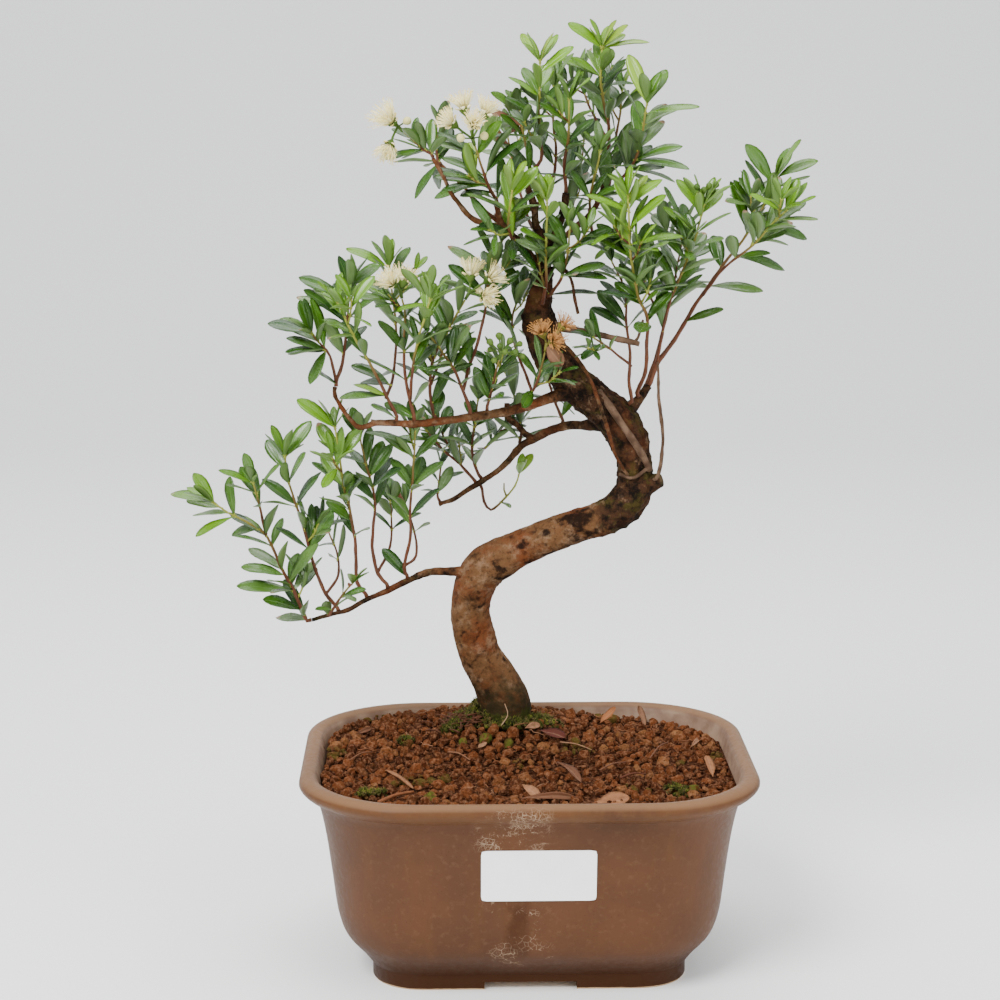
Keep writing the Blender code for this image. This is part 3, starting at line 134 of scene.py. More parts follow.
# Limbs that grew or died as part of the trunk: thickness at both ends, then places in the front view
LIMBS = {
    "lower_left": (4.4, 1.8, ((476, 572, 30), (463, 572, 29), (431, 572, 26), (407, 581, 22),
        (387, 591, 18), (368, 599, 14), (348, 610, 10), (332, 614, 8), (312, 620, 5))),
    "middle_left": (5.4, 3.0, ((575, 391, 21), (555, 396, 17), (528, 406, 11), (499, 413, 6),
        (470, 417, 1), (442, 421, -4), (413, 424, -9), (394, 423, -11), (371, 423, -12))),
    "middle_left_end": (2.6, 1.8, ((376, 423, -12), (359, 427, -13), (346, 414, -14), (335, 396, -15),
        (335, 387, -15))),
    "back": (5.0, 2.2, ((606, 424, 31), (585, 425, 36), (566, 426, 42), (547, 432, 47), (534, 439, 50),
        (521, 446, 52), (508, 461, 55), (496, 472, 58), (479, 483, 60), (464, 492, 62), (454, 499, 63),
        (439, 504, 64))),
    "back_fork": (3.4, 2.8, ((536, 438, 49), (528, 436, 50), (517, 425, 52), (508, 417, 54),
        (507, 403, 55))),
    "sawn_right": (3.8, 2.6, ((546, 325, 22), (560, 327, 20), (587, 332, 16), (614, 338, 12),
        (639, 344, 8))),
    "sawn_right_twig": (1.8, 1.2, ((634, 343, 9), (638, 338, 9), (643, 320, 6))),
    "old_rod": (3.6, 3.2, ((598, 391, 17), (612, 410, 13), (628, 433, 13), (641, 453, 15),
        (650, 470, 18))),
    "elbow_stub": (9.0, 6.4, ((638, 486, 24), (650, 483, 22), (661, 480, 20))),
    "dead_twig": (1.9, 1.6, ((562, 343, 15), (575, 356, 10), (590, 379, 8), (599, 403, 7),
        (607, 427, 8), (616, 456, 10), (629, 477, 17))),
    "dead_twig_low": (1.6, 1.6, ((620, 474, 19), (633, 478, 14), (650, 466, 18))),
    "bare_twig": (2.0, 1.4, ((651, 480, 20), (658, 475, 16), (663, 439, 14), (659, 400, 12),
        (658, 362, 10))),
    "right_base": (6.4, 3.8, ((617, 416, 25), (630, 408, 28), (640, 398, 31), (648, 386, 33))),
    "leader": (4.8, 2.8, ((545, 284, 20), (545, 242, 18), (536, 226, 16), (534, 206, 14),
        (526, 182, 12))),
    "crown_left": (4.4, 2.6, ((547, 276, 20), (543, 267, 17), (534, 259, 14), (522, 245, 9),
        (510, 233, 5), (500, 220, 2), (497, 205, 0))),
    "crown_low_left": (2.8, 1.8, ((507, 230, 4), (492, 225, 0), (480, 222, -2), (470, 217, -4),
        (460, 205, -6), (451, 193, -8), (443, 176, -10), (433, 158, -12))),
    "crown_low_back": (2.4, 1.6, ((503, 224, 3), (488, 214, 10), (475, 201, 17), (464, 187, 24),
        (451, 174, 30), (441, 165, 34))),
    "crown_right": (3.6, 2.2, ((547, 265, 20), (562, 240, 24), (588, 216, 32), (598, 202, 36),
        (603, 188, 38), (607, 170, 40))),
    "crown_stub": (4.2, 3.6, ((546, 246, 18), (557, 228, 15), (564, 208, 12), (566, 193, 11))),
    "hanging_twig": (1.7, 1.3, ((548, 270, 19), (560, 266, 12), (571, 279, 6), (575, 300, 3),
        (578, 314, 2))),
}
LIMB_SIDES = 5
LIMB_STEP = 14.0
STEM_STEP = 15.0
STEM_END = 0.75  # radius
STEM_BOWS = (0, 4, -4, 8, -8, 12, -12, 16, -16)
STEM_RISE = 2.2  # straight out of the bark

# A spray's stem, in this order: places in the front view with depth, thickness at its foot, share of it
# where leaves begin, number of leaf pairs, leaf length in mm, how young its leaves are (0 to 1), and tips
# of leaves that stand out in the front view. A spray's other stems spring from its first one.
Stem = namedtuple("Stem", "path thick bare pairs leaf young tips", defaults=((),))

SPRAYS = {
    "lower_left_spray_1": (
        Stem(((407, 577, 21), (404, 566, 19), (410, 538, 15), (410, 511, 12), (412, 487, 9),
             (414, 457, 7), (415, 432, 5)), 1.9, 0.5, 1, 19.0, 0.3, ((364, 432), (382, 434), (391, 458),
             (444, 461), (423, 455), (393, 496), (382, 548))),
        Stem(((404, 566, 19), (416, 556, 30), (414, 530, 42), (405, 505, 50)), 1.6, 0.6, 1, 17.0, 0.0),
    ),
    "lower_left_spray_2": (
        Stem(((388, 588, 18), (378, 574, 16), (372, 546, 14), (375, 511, 11), (373, 489, 8),
             (366, 465, 6), (360, 438, 5)), 2.0, 0.55, 2, 19.0, 0.2, ((383, 440), (350, 447),
             (393, 443), (350, 474))),
        Stem(((378, 572, 16), (388, 552, 26), (392, 528, 34), (390, 502, 38)), 1.6, 0.6, 1, 17.0, 0.1,
             ((398, 480),)),
    ),
    "lower_left_spray_3": (
        Stem(((367, 597, 14), (357, 582, 11), (356, 550, 7), (354, 534, 5), (349, 507, 2),
             (344, 487, -1), (340, 457, -4), (335, 428, -6)), 2.0, 0.45, 2, 19.0, 0.6, ((297, 398),
             (317, 422), (361, 428), (321, 452), (326, 500), (362, 478))),
    ),
    "lower_left_spray_4": (
        Stem(((339, 612, 9), (326, 594, 7), (317, 574, 6), (308, 546, 3), (304, 528, 1), (296, 505, -2),
             (289, 483, -5), (285, 457, -8)), 2.0, 0.45, 1, 20.0, 0.3, ((266, 439), (311, 420),
             (306, 452), (317, 475), (317, 505), (262, 478))),
        Stem(((326, 594, 7), (338, 576, 20), (337, 552, 32), (328, 530, 40)), 1.6, 0.5, 1, 18.0, 0.1),
    ),
    "lower_left_spray_5": (
        Stem(((310, 620, 5), (298, 600, 4), (289, 582, 3), (281, 568, 2), (273, 548, 1), (265, 534, 0),
             (249, 523, -2), (229, 513, -4), (214, 503, -6)), 2.0, 0.1, 3, 21.0, 0.5, ((170, 492),
             (186, 499), (192, 515), (236, 586), (241, 566), (248, 548), (263, 598), (276, 617),
             (317, 543))),
        Stem(((266, 534, 0), (261, 511, -8), (257, 495, -12), (253, 483, -15)), 1.6, 0.35, 1, 18.0, 0.4,
             ((218, 470), (240, 466))),
    ),
    "lower_left_spray_6": (
        Stem(((328, 614, 6), (336, 604, -4), (345, 592, -14), (352, 584, -20)), 1.6, 0.3, 1, 14.0, 0.3,
             ((366, 588), (326, 600))),
    ),
    "middle_left_spray_1": (
        Stem(((336, 386, -15), (342, 364, -12), (346, 335, -9), (348, 312, -6), (349, 289, -4)),
             1.9, 0.4, 1, 21.0, 0.2, ((380, 262), (351, 258), (298, 277), (304, 288), (319, 372))),
        Stem(((336, 382, -15), (330, 356, -20), (322, 346, -24), (312, 334, -27)),
             1.6, 0.5, 1, 20.0, 0.1, ((267, 323), (286, 337), (285, 351), (310, 385))),
    ),
    "middle_left_spray_2": (
        Stem(((396, 421, -12), (375, 373, -20), (363, 352, -23), (352, 333, -26), (344, 316, -28),
             (339, 304, -29)), 1.8, 0.5, 1, 18.0, 0.9, ((336, 286), (322, 318), (353, 384), (371, 404),
             (339, 397))),
        Stem(((386, 398, -16), (394, 372, -2), (396, 330, 6), (392, 292, 10), (389, 268, 11)),
             1.6, 0.5, 2, 19.0, 0.5, ((386, 234), (346, 247), (351, 363), (360, 381), (374, 378))),
    ),
    "middle_left_spray_3": (
        Stem(((414, 421, -9), (409, 396, -13), (405, 373, -16), (404, 345, -18), (405, 316, -20),
             (402, 299, -21)), 1.9, 0.4, 2, 19.0, 0.3, ((428, 381), (384, 402))),
        Stem(((410, 400, -12), (415, 352, -28), (423, 322, -33), (430, 300, -36)),
             1.6, 0.3, 2, 17.0, 0.9, ((425, 277), (440, 290))),
    ),
    "middle_left_spray_4": (
        Stem(((436, 419, -4), (430, 392, 2), (432, 364, 4), (444, 337, 6), (457, 314, 6),
             (465, 300, 5)), 1.9, 0.35, 3, 18.0, 0.4, ((441, 389), (449, 371), (410, 352))),
        Stem(((431, 384, 2), (440, 360, 16), (444, 330, 26), (440, 300, 34)), 1.6, 0.3, 2, 18.0, 0.1),
    ),
    "middle_left_spray_5": (
        Stem(((470, 415, 0), (463, 390, -6), (453, 368, -12), (440, 349, -17), (428, 333, -20)),
             1.9, 0.4, 2, 19.0, 0.3, ((476, 337),)),
        Stem(((463, 390, -6), (470, 364, 4), (477, 345, 9), (485, 312, 14), (488, 283, 17),
             (491, 262, 18), (501, 243, 18), (510, 226, 18)), 1.8, 0.45, 1, 19.0, 0.4, ((496, 212),
             (447, 246), (460, 250), (508, 206), (532, 214), (543, 248), (448, 264), (520, 272),
             (461, 322))),
    ),
    "middle_left_spray_6": (
        Stem(((487, 412, 4), (491, 393, 0), (495, 375, -4), (499, 360, -6)), 1.7, 0.3, 2, 17.0, 0.2,
             ((474, 366), (520, 372))),
    ),
    "middle_left_spray_7": (
        Stem(((525, 405, 11), (534, 389, 4), (541, 370, -1), (545, 352, -3)), 1.8, 0.4, 1, 16.0, 0.2,
             ((519, 352),)),
        Stem(((532, 392, 5), (524, 370, 14), (516, 350, 22), (512, 322, 27), (516, 305, 27),
             (526, 292, 26)), 1.6, 0.3, 2, 18.0, 0.3, ((503, 259), (494, 291), (494, 303), (541, 265))),
    ),
    "back_spray_1": (
        Stem(((475, 481, 60), (459, 463, 62), (448, 445, 65), (438, 424, 68)), 1.8, 0.4, 2, 18.0, 0.0,
             ((421, 404), (450, 405))),
        Stem(((459, 463, 62), (443, 450, 56), (427, 431, 53)), 1.5, 0.4, 1, 17.0, 0.0),
    ),
    "back_spray_2": (
        Stem(((482, 479, 60), (472, 452, 56), (474, 430, 54), (478, 400, 52)), 1.8, 0.3, 2, 17.0, 0.2),
        Stem(((473, 456, 57), (489, 445, 66), (505, 424, 72)), 1.5, 0.3, 2, 17.0, 0.0),
    ),
    "back_spray_3": (
        Stem(((481, 486, 60), (484, 501, 58), (491, 510, 57), (502, 501, 55), (515, 486, 53),
             (519, 474, 52)), 1.6, 0.6, 1, 13.0, 0.8, ((533, 453), (522, 461))),
    ),
    "back_spray_4": (
        Stem(((440, 502, 64), (438, 490, 67), (441, 466, 70)), 1.5, 0.5, 1, 13.0, 0.1),
    ),
    "back_spray_5": (
        Stem(((520, 445, 53), (521, 428, 64), (515, 400, 74), (506, 374, 80)), 1.8, 0.25, 2, 19.0, 0.1),
    ),
    "back_spray_6": (
        Stem(((562, 425, 44), (556, 405, 56), (548, 380, 66), (540, 352, 72)), 1.8, 0.25, 2, 19.0, 0.0),
    ),
    "right_spray_1": (
        Stem(((649, 384, 33), (657, 364, 34), (674, 340, 36), (696, 304, 38), (721, 268, 40),
             (742, 241, 41), (753, 224, 41), (762, 209, 41), (771, 191, 41), (776, 178, 41)),
             2.6, 0.62, 2, 21.0, 0.4, ((801, 139), (818, 159), (732, 180), (746, 143), (746, 159),
             (808, 238), (786, 269), (764, 291), (724, 309), (713, 234))),
        Stem(((703, 295, 38), (726, 266, 30), (753, 245, 24), (771, 225, 20), (786, 211, 18)),
             1.6, 0.3, 2, 20.0, 0.6, ((806, 200),)),
        Stem(((657, 364, 34), (663, 330, 24), (671, 299, 18), (681, 274, 14), (692, 247, 10),
             (700, 222, 8), (703, 206, 7)), 1.8, 0.35, 1, 19.0, 0.6, ((650, 243), (663, 206),
             (651, 223), (686, 212), (677, 178), (722, 188), (724, 238), (703, 274), (660, 290))),
    ),
    "right_spray_2": (
        Stem(((640, 396, 27), (645, 372, 20), (647, 343, 12), (647, 318, 6), (639, 299, 2),
             (633, 272, -2), (630, 245, -5), (629, 212, -8), (628, 196, -9)), 2.2, 0.4, 1, 19.0, 0.7,
             ((647, 174), (608, 172), (662, 178), (666, 194), (617, 215), (586, 194), (604, 199),
             (596, 236), (683, 234), (614, 219), (620, 262), (655, 262), (600, 292), (672, 292))),
    ),
    "right_spray_3": (
        Stem(((629, 404, 25), (629, 380, 21), (630, 352, 20), (626, 322, 19), (625, 290, 20),
             (612, 262, 22)), 1.9, 0.6, 2, 19.0, 0.1, ((597, 290), (588, 262))),
        Stem(((631, 366, 21), (612, 350, 10), (594, 338, 4)), 1.4, 0.5, 1, 15.0, 0.1),
    ),
    "right_spray_4": (
        Stem(((641, 396, 36), (655, 360, 48), (668, 310, 58), (678, 262, 66), (684, 232, 70)),
             2.0, 0.55, 2, 20.0, 0.1, ((712, 246), (664, 186))),
        Stem(((664, 326, 55), (648, 292, 66), (640, 262, 74)), 1.6, 0.6, 1, 19.0, 0.0, ((648, 222),)),
    ),
    "crown_spray_1": (
        Stem(((527, 181, 12), (541, 160, 8), (540, 134, 6), (539, 110, 5), (540, 84, 4), (540, 62, 3)),
             2.0, 0.15, 2, 18.0, 0.8, ((521, 33), (558, 34), (574, 46), (508, 76), (519, 97), (562, 84),
             (523, 66))),
    ),
    "crown_spray_2": (
        Stem(((607, 168, 40), (609, 127, 36), (605, 108, 34), (601, 86, 32), (601, 68, 31),
             (602, 48, 30)), 2.2, 0.15, 1, 18.0, 0.7, ((568, 22), (611, 25), (628, 24), (650, 40),
             (559, 57), (571, 57), (588, 48), (626, 58), (587, 86), (598, 93))),
        Stem(((608, 140, 38), (595, 118, 50), (585, 96, 58), (580, 76, 62)), 1.6, 0.3, 1, 17.0, 0.3,
             ((579, 60),)),
    ),
    "crown_spray_3": (
        Stem(((535, 215, 16), (552, 180, 24), (556, 150, 28), (553, 122, 30), (554, 88, 31)),
             1.9, 0.3, 2, 18.0, 0.3, ((572, 52), (579, 74), (533, 136))),
    ),
    "crown_spray_4": (
        Stem(((566, 191, 11), (564, 165, 4), (568, 142, 0), (569, 124, -3), (569, 100, -6)),
             1.9, 0.25, 2, 18.0, 0.5, ((590, 77), (595, 118), (539, 102))),
    ),
    "crown_spray_5": (
        Stem(((604, 186, 39), (613, 160, 50), (616, 135, 56), (621, 108, 60), (622, 92, 62)),
             1.9, 0.3, 1, 19.0, 0.3, ((652, 81), (635, 138), (587, 134))),
    ),
    "crown_spray_6": (
        Stem(((597, 203, 35), (618, 182, 26), (635, 160, 20), (641, 140, 17), (644, 123, 15),
             (647, 104, 13)), 2.0, 0.2, 1, 20.0, 0.4, ((667, 69), (628, 54), (700, 106), (683, 145),
             (690, 168), (665, 166), (664, 119), (667, 103), (652, 144), (616, 138))),
    ),
    "crown_spray_7": (
        Stem(((530, 194, 13), (530, 168, 20), (525, 140, 24), (519, 113, 26)), 1.8, 0.2, 1, 17.0, 0.4,
             ((491, 91), (501, 113), (486, 107), (515, 87), (503, 147))),
    ),
    "crown_spray_8": (
        Stem(((433, 157, -12), (424, 150, -12), (413, 140, -12), (404, 132, -12)),
             1.7, 0.1, 2, 16.0, 0.5, ((384, 159), (432, 118), (392, 127))),
    ),
    "crown_spray_9": (
        Stem(((497, 203, 0), (488, 185, -5), (481, 164, -8), (475, 146, -10)), 1.9, 0.1, 1, 20.0, 0.3,
             ((522, 139), (521, 152), (496, 112), (435, 132), (438, 141), (462, 165), (434, 174),
             (441, 190), (501, 120), (460, 195))),
    ),
    "crown_spray_10": (
        Stem(((545, 303, 10), (546, 282, 2), (546, 252, -4), (547, 222, -7), (547, 202, -8)),
             1.8, 0.3, 2, 17.0, 1.0, ((548, 173), (524, 236))),
    ),
    "crown_spray_11": (
        Stem(((551, 296, 12), (562, 276, 2), (568, 252, -4), (570, 228, -8)), 1.8, 0.2, 2, 19.0, 0.4,
             ((549, 212), (613, 228), (606, 264), (608, 277))),
    ),
    "crown_spray_12": (
        Stem(((515, 239, 3), (508, 224, -10), (510, 205, -15), (512, 192, -17)), 1.7, 0.2, 1, 19.0, 0.7,
             ((538, 166), (539, 190), (504, 168), (549, 252), (536, 270), (488, 196), (478, 226))),
    ),
    "crown_spray_13": (
        Stem(((552, 258, 22), (560, 238, 42), (572, 208, 56), (580, 172, 64), (584, 140, 68)),
             2.0, 0.25, 3, 19.0, 0.1, ((600, 118),)),
    ),
    "crown_spray_14": (
        Stem(((540, 236, 18), (530, 222, 34), (520, 192, 46), (512, 160, 54), (508, 138, 57)),
             1.9, 0.25, 2, 18.0, 0.1, ((480, 150), (478, 184), (488, 122))),
    ),
    "crown_spray_15": (
        Stem(((441, 164, 34), (437, 154, 36), (436, 142, 38), (440, 128, 38)), 1.6, 0.1, 2, 18.0, 0.2,
             ((414, 199), (437, 190), (425, 165))),
    ),
    "crown_spray_16": (
        Stem(((590, 213, 32), (592, 232, 20), (590, 200, 8), (596, 172, 2), (600, 152, 0)),
             1.8, 0.35, 2, 18.0, 0.4, ((618, 186),)),
    ),
}

# Flower clusters: the spray whose first stem carries them, blooms (place, depth, size in mm), and buds
Cluster = namedtuple("Cluster", "spray blooms buds")
CLUSTERS = {
    "flowers_far_left": Cluster("crown_spray_8", ((388, 118, -16, 8.5), (388, 149, -20, 6.5)),
        ((407, 121, -16),)),
    "flowers_crown": Cluster("crown_spray_9", ((449, 121, -14, 6.0), (463, 104, -10, 7.0),
        (486, 110, -8, 6.5), (474, 122, -22, 6.0)), ((461, 138, -20), (484, 136, -18))),
    "flowers_middle_left": Cluster("middle_left_spray_3", ((390, 281, -26, 6.0), (404, 278, -18, 6.5)),
        ((418, 284, -24),)),
    "flowers_middle": Cluster("middle_left_spray_4", ((471, 271, 8, 7.0), (493, 277, 2, 6.5),
        (487, 296, -6, 6.0)), ((478, 290, 12),)),
    "buds_middle": Cluster("middle_left_spray_6", (), ((490, 342, -8), (499, 336, -8), (510, 341, -6),
        (515, 352, -9))),
    "dry_flowers": Cluster("middle_left_spray_7", ((541, 328, -6, 7.0), (556, 340, -10, 7.0),
        (566, 322, -4, 6.5)), ()),
}
BUD_RADIUS = 1.9
FORK_REACH = 3.5

# Fallen leaves and the dry stick: both ends across the soil, breadth, and how far the end stands up, in mm
LITTER = {
    "fallen_leaf_1": ((6.3, 21.7), (19.3, 9.6), 7.0, 0.0),
    "fallen_leaf_2": ((13.8, -5.0), (25.0, -32.0), 4.6, 0.0),
    "fallen_leaf_3": ((29.0, -60.0), (46.5, -57.0), 8.0, 1.5),
    "fallen_leaf_4": ((90.2, -17.0), (89.0, -3.0), 5.5, 7.0),
    "fallen_leaf_5": ((39.6, 57.0), (48.0, 62.0), 5.0, 7.0),
    "fallen_leaf_6": ((64.0, 68.0), (61.0, 71.0), 4.6, 11.0),
    "fallen_stick": ((-71.5, -64.5), (-55.5, -48.0), 2.0, 0.0),
}

LEAF_BREADTH = 0.37  # of its length
LEAF_KEEL = 0.9
END_KEEL = 0.36
LEAF_SINK = 0.35  # of its foot into the stem
LEAF_FREE = 0.28  # share of the length from where it keeps clear of its own spray
CLOSE = 0.1
LEAF_SECTIONS = ((0.34, 0.84), (0.7, 0.96))  # share of the length, share of the breadth
LEAF_ARCH = 0.05
CLEAR = 0.4  # kept free round leaves and stems
TIP_REACH = (0.6, 1.35)  # share of the usual length, shortest and longest
TIP_TURN = 2.0  # most that a leaf turns off its stem
# Ways to place a leaf when the one before meets something: turn round the stem, lean, share of the size
LEAF_TRIES = ((0, 0, 1), (0.4, 0.1, 1), (-0.4, 0.1, 1), (0.8, -0.2, 0.9), (-0.8, -0.2, 0.9), (0, 0.3, 0.8))
SEED = 2704

Leaf = namedtuple("Leaf", "base along side up length breadth young")

# Colours, as light reflected
LEAF_DARK = (0.010, 0.047, 0.003)
LEAF_MIDDLE = (0.040, 0.115, 0.005)
LEAF_FRESH = (0.135, 0.290, 0.006)
LEAF_TIP = (0.340, 0.430, 0.040)
LEAF_RIB = (0.100, 0.210, 0.025)
LEAF_DULL = (0.125, 0.200, 0.070)
LEAF_UNDER = (0.110, 0.170, 0.050)
STEM_DARK = (0.036, 0.014, 0.008)
STEM_RED = (0.150, 0.046, 0.018)
STEM_GREEN = (0.290, 0.330, 0.045)
STEM_PALE = (0.200, 0.100, 0.050)
DRY_DARK = (0.060, 0.022, 0.011)
DRY_LIGHT = (0.240, 0.085, 0.030)
DRY_RED = (0.070, 0.016, 0.010)
DRY_PALE = (0.360, 0.220, 0.130)
DRY_ORANGE = (0.660, 0.280, 0.055)
WOOD_PALE = (0.130, 0.078, 0.048)
WOOD_DARK = (0.045, 0.024, 0.014)
BARK_TAN = (0.108, 0.051, 0.021)
BARK_RED = (0.110, 0.034, 0.012)
BARK_GREY = (0.195, 0.118, 0.068)
BARK_DEEP = (0.009, 0.004, 0.002)
BARK_BLACK = (0.005, 0.003, 0.002)
BARK_BROWN = (0.042, 0.019, 0.009)
BARK_OLIVE = (0.046, 0.036, 0.008)
BARK_DIRT = (0.020, 0.015, 0.006)
MOSS_DARK = (0.010, 0.014, 0.003)
MOSS_MIDDLE = (0.046, 0.052, 0.009)
MOSS_BRIGHT = (0.180, 0.185, 0.028)
MOSS_DRY = (0.125, 0.090, 0.036)
GLAZE = (0.084, 0.034, 0.015)
GLAZE_DARK = (0.062, 0.026, 0.012)
GLAZE_DEEP = (0.040, 0.017, 0.010)
GLAZE_WARM = (0.108, 0.044, 0.014)
GLAZE_PALE = (0.125, 0.065, 0.034)
# Painted highlight on the upward faces of the pot's lip
LIP_HIGHLIGHT = (0.235, 0.130, 0.068)
# Painted shade at the pot's foot; also the colour of the damp run below the label
GLAZE_FOOT_SHADE_AND_DAMP = (0.036, 0.011, 0.002)
LIP_OCHRE = (0.110, 0.050, 0.018)
INNER_WALL = (0.150, 0.088, 0.060)
INNER_PALE = (0.250, 0.165, 0.110)
LIME = (0.420, 0.310, 0.210)
CLAY = (0.420, 0.280, 0.160)
LABEL_WHITE = (0.980, 0.975, 0.970)
LABEL_SHADE = (0.930, 0.925, 0.920)
SOIL_DARK = (0.025, 0.006, 0.002)
SOIL_RED = (0.105, 0.031, 0.010)
SOIL_OCHRE = (0.140, 0.056, 0.020)
SOIL_PALE = (0.260, 0.125, 0.066)
SOIL_PIT_SHADE = (0.015, 0.006, 0.003)
PEBBLE_GREEN = (0.070, 0.078, 0.012)
SOIL_OLIVE = (0.055, 0.044, 0.010)
CREAM = (0.970, 0.850, 0.360)
CREAM_WHITE = (1.000, 0.950, 0.640)
CREAM_GREEN = (0.420, 0.480, 0.060)
POLLEN = (0.780, 0.560, 0.150)
BUD_GREEN = (0.042, 0.088, 0.010)
BUD_FRESH = (0.085, 0.145, 0.020)
BUD_DEEP = (0.030, 0.070, 0.012)
NET_BLACK = (0.018, 0.018, 0.018)
NET_DUST = (0.080, 0.060, 0.050)
FLOOR = (0.93, 0.93, 0.92)
SKY = (0.940, 0.970, 1.000)
SKY_STRENGTH = 0.80

# Fine shapes
LEAF_OUTLINE = ((0.0, 0.10), (0.07, 0.17), (0.18, 0.46), (0.34, 0.78), (0.52, 0.96), (0.68, 1.0),
    (0.83, 0.84), (0.94, 0.50), (1.0, 0.12))
LEAF_ACROSS = (-1.0, -0.5, 0.0, 0.5, 1.0)
LEAF_THICK = 0.3
FINE_CLEAR = 0.1  # kept free round a leaf between the model's
FINE_CLOSE = (-0.2, 0.3)  # the same within its own spray, and share of the length from where it is kept
FINE_TRIES = ((0, 0), (0.5, 0.1), (-0.5, 0.1), (0.2, 0.35), (1.0, 0.0), (-1.0, 0.0))
NODE_SPACING = 11.5
TWIG_SPACING = 26.0
TWIG_SHARE = {"lower_left": 0.35, "middle_left": 0.75, "crown": 0.6, "right": 1.1, "back": 1.0}
TWIG_LENGTH = (7.0, 17.0)
TWIG_THICK = 1.1
FINE_STEP = 3.0  # along a stem
FINE_END = 0.42  # radius
NODE_SWELL = 0.12  # share that a stem's nodes are thicker
NODE_EVERY = 3  # steps from one node to the next
SWAY = 0.35  # how far a stem strays, in mm
BARK_STEP = 1.8
BARK_SIDES = 72
LIMB_ROUND = 12
BARK_FOOT = (0.108, 0.140)  # metres above the ground: dirty below, clean above
DARK_FROM = 165.0  # mm along the trunk where its bark turns dark and rough
DARK_OVER = 26.0  # and how far it takes to do so
MOSSY_BELOW = 124  # height up to which moss climbs the trunk
POT_ROUND = 16  # steps round each corner
POT_STEPS = (4, 3)  # between the sections outside and inside
POT_SHARP = math.radians(40)
LABEL_SHARP = math.radians(50)
HOLE_ROUND = 48
MOSS_SHOOTS = 5200
FRESH_THREADS = 130
DRY_THREADS = 90
PETALS = 5
GOLDEN_TURN = 2.39996  # between one stamen and the next
# Distance along the stalk and radius, of a flower's cup in mm and of a bud of unit size
CUP_PROFILE = ((0, 0.6), (0.7, 1.1), (1.8, 1.9), (2.9, 2.5), (3.4, 2.7), (3.5, 2.2), (3.2, 1.2))
BUD_PROFILE = ((-1.25, 0.3), (-0.9, 0.62), (-0.2, 0.98), (0.35, 1.05), (0.8, 0.78), (1.05, 0.4),
    (1.12, 0.1))

# Bright young leaves in the front view
FRESH = ((634, 76), (640, 190), (624, 224), (548, 188), (512, 206), (473, 167), (590, 98), (640, 95),
    (704, 218), (326, 426), (322, 448), (509, 212), (498, 236), (655, 232), (366, 388))
# In the front view only leaves above this line are as young as can be
YOUNGEST_ABOVE = 100
OLDER_LEFT_OF = 470
YOUTH_LEFT = 0.5
YOUTH_RIGHT = 0.8
PALER_FROM = 640  # right of here the leaves are paler
PALER = 0.45
# Where the front view shows twigs without more leaves, and how far round
LEAFLESS = ((522, 478, 30), (646, 372, 30), (550, 158, 15), (557, 192, 13))
# Withered leaves in the front view
WITHERED = ((400, 499), (277, 522), (504, 137), (500, 118), (550, 125), (356, 584))
HANGING = (562, 366, -9)  # tip of the brown leaf in the dry cluster, in the front view
# Green buds at the tip of a spray's last stem
BUD_SPRAY = "right_spray_1"
LOOSE_BUDS = ((697, 187, 4), (700, 193, 8), (709, 186, 6), (713, 191, 9), (704, 190, 5), (716, 185, 7))
# Smaller buds added to the green cluster: how many, how far apart and how far from its fork
MORE_BUDS = 6
BUD_ROOM = 3.6
BUD_REACH = 11.0
# Bumps on the trunk: place in the front view, depth, width and height in mm
KNOTS = ((575, 522, 18, 5.0, 2.2), (470, 560, 26, 6.0, 1.5), (463, 612, 30, 5.0, 1.2),
    (500, 575, 22, 5.0, 1.0), (640, 492, 18, 6.0, 1.6), (612, 500, 18, 4.5, 1.5),
    (626, 432, 16, 5.0, 1.8), (596, 402, 15, 5.0, 1.6), (597, 508, 18, 3.0, 1.5),
    (605, 517, 18, 3.0, 1.6), (611, 527, 18, 3.0, 1.4), (556, 372, 14, 5.0, 1.8),
    (541, 330, 14, 4.5, 1.6), (545, 543, 19, 4.0, 1.0), (482, 650, 28, 4.0, 0.9))
# Dark spots in the smooth bark: place in the front view, depth and width in mm
SPOTS = ((477, 599, 28, 4.0), (481, 619, 30, 2.6), (466, 634, 30, 3.0), (500, 571, 22, 3.4),
    (543, 529, 20, 3.2), (568, 520, 20, 4.2), (577, 521, 18, 6.2), (585, 516, 18, 4.0),
    (520, 546, 20, 2.6), (488, 690, 34, 4.5), (506, 698, 34, 4.5), (462, 612, 44, 5.0),
    (530, 560, 30, 3.5), (490, 640, 52, 6.0))
# How dark and rough each limb's bark is
LIMB_AGE = {
    "lower_left": 0.55, "elbow_stub": 0.6, "back": 0.5, "back_fork": 0.5, "old_rod": 0.3,
    "right_base": 0.6, "leader": 0.6, "crown_left": 0.5, "crown_right": 0.5, "crown_stub": 0.7,
    "middle_left": 0.36, "dead_twig": 0.5, "dead_twig_low": 0.4, "bare_twig": 0.5, "hanging_twig": 0.6,
}
DEAD = ("old_rod", "bare_twig", "sawn_right", "sawn_right_twig", "dead_twig_low")
COLLAR = 9.0  # how far a limb is swollen where it leaves the trunk
COLLAR_FROM = 3.7  # thickness of the limbs that have one

# Lime marks on the front wall: middle and half width across, middle and half height, how sparse
STAINS = ((-9.0, 9.0, 87.0, 7.0, 0.0), (-5.0, 8.0, 22.0, 2.0, 0.35), (-9.0, 5.0, 40.0, 12.0, 0.45))
# Damp run below the label: middle and half width across, middle and half height
DAMP = (-7.0, 3.0, 36.0, 10.0)

SOIL_EDGE = (POT_INSIDE[0][0] + GAP, POT_INSIDE[0][1])  # inset and corner radius

# The bed under the grains: steps round each corner, rings over its top and how far it is below them
BED_ROUND = 12
BED_RINGS = 14
BED_BELOW = 2.2

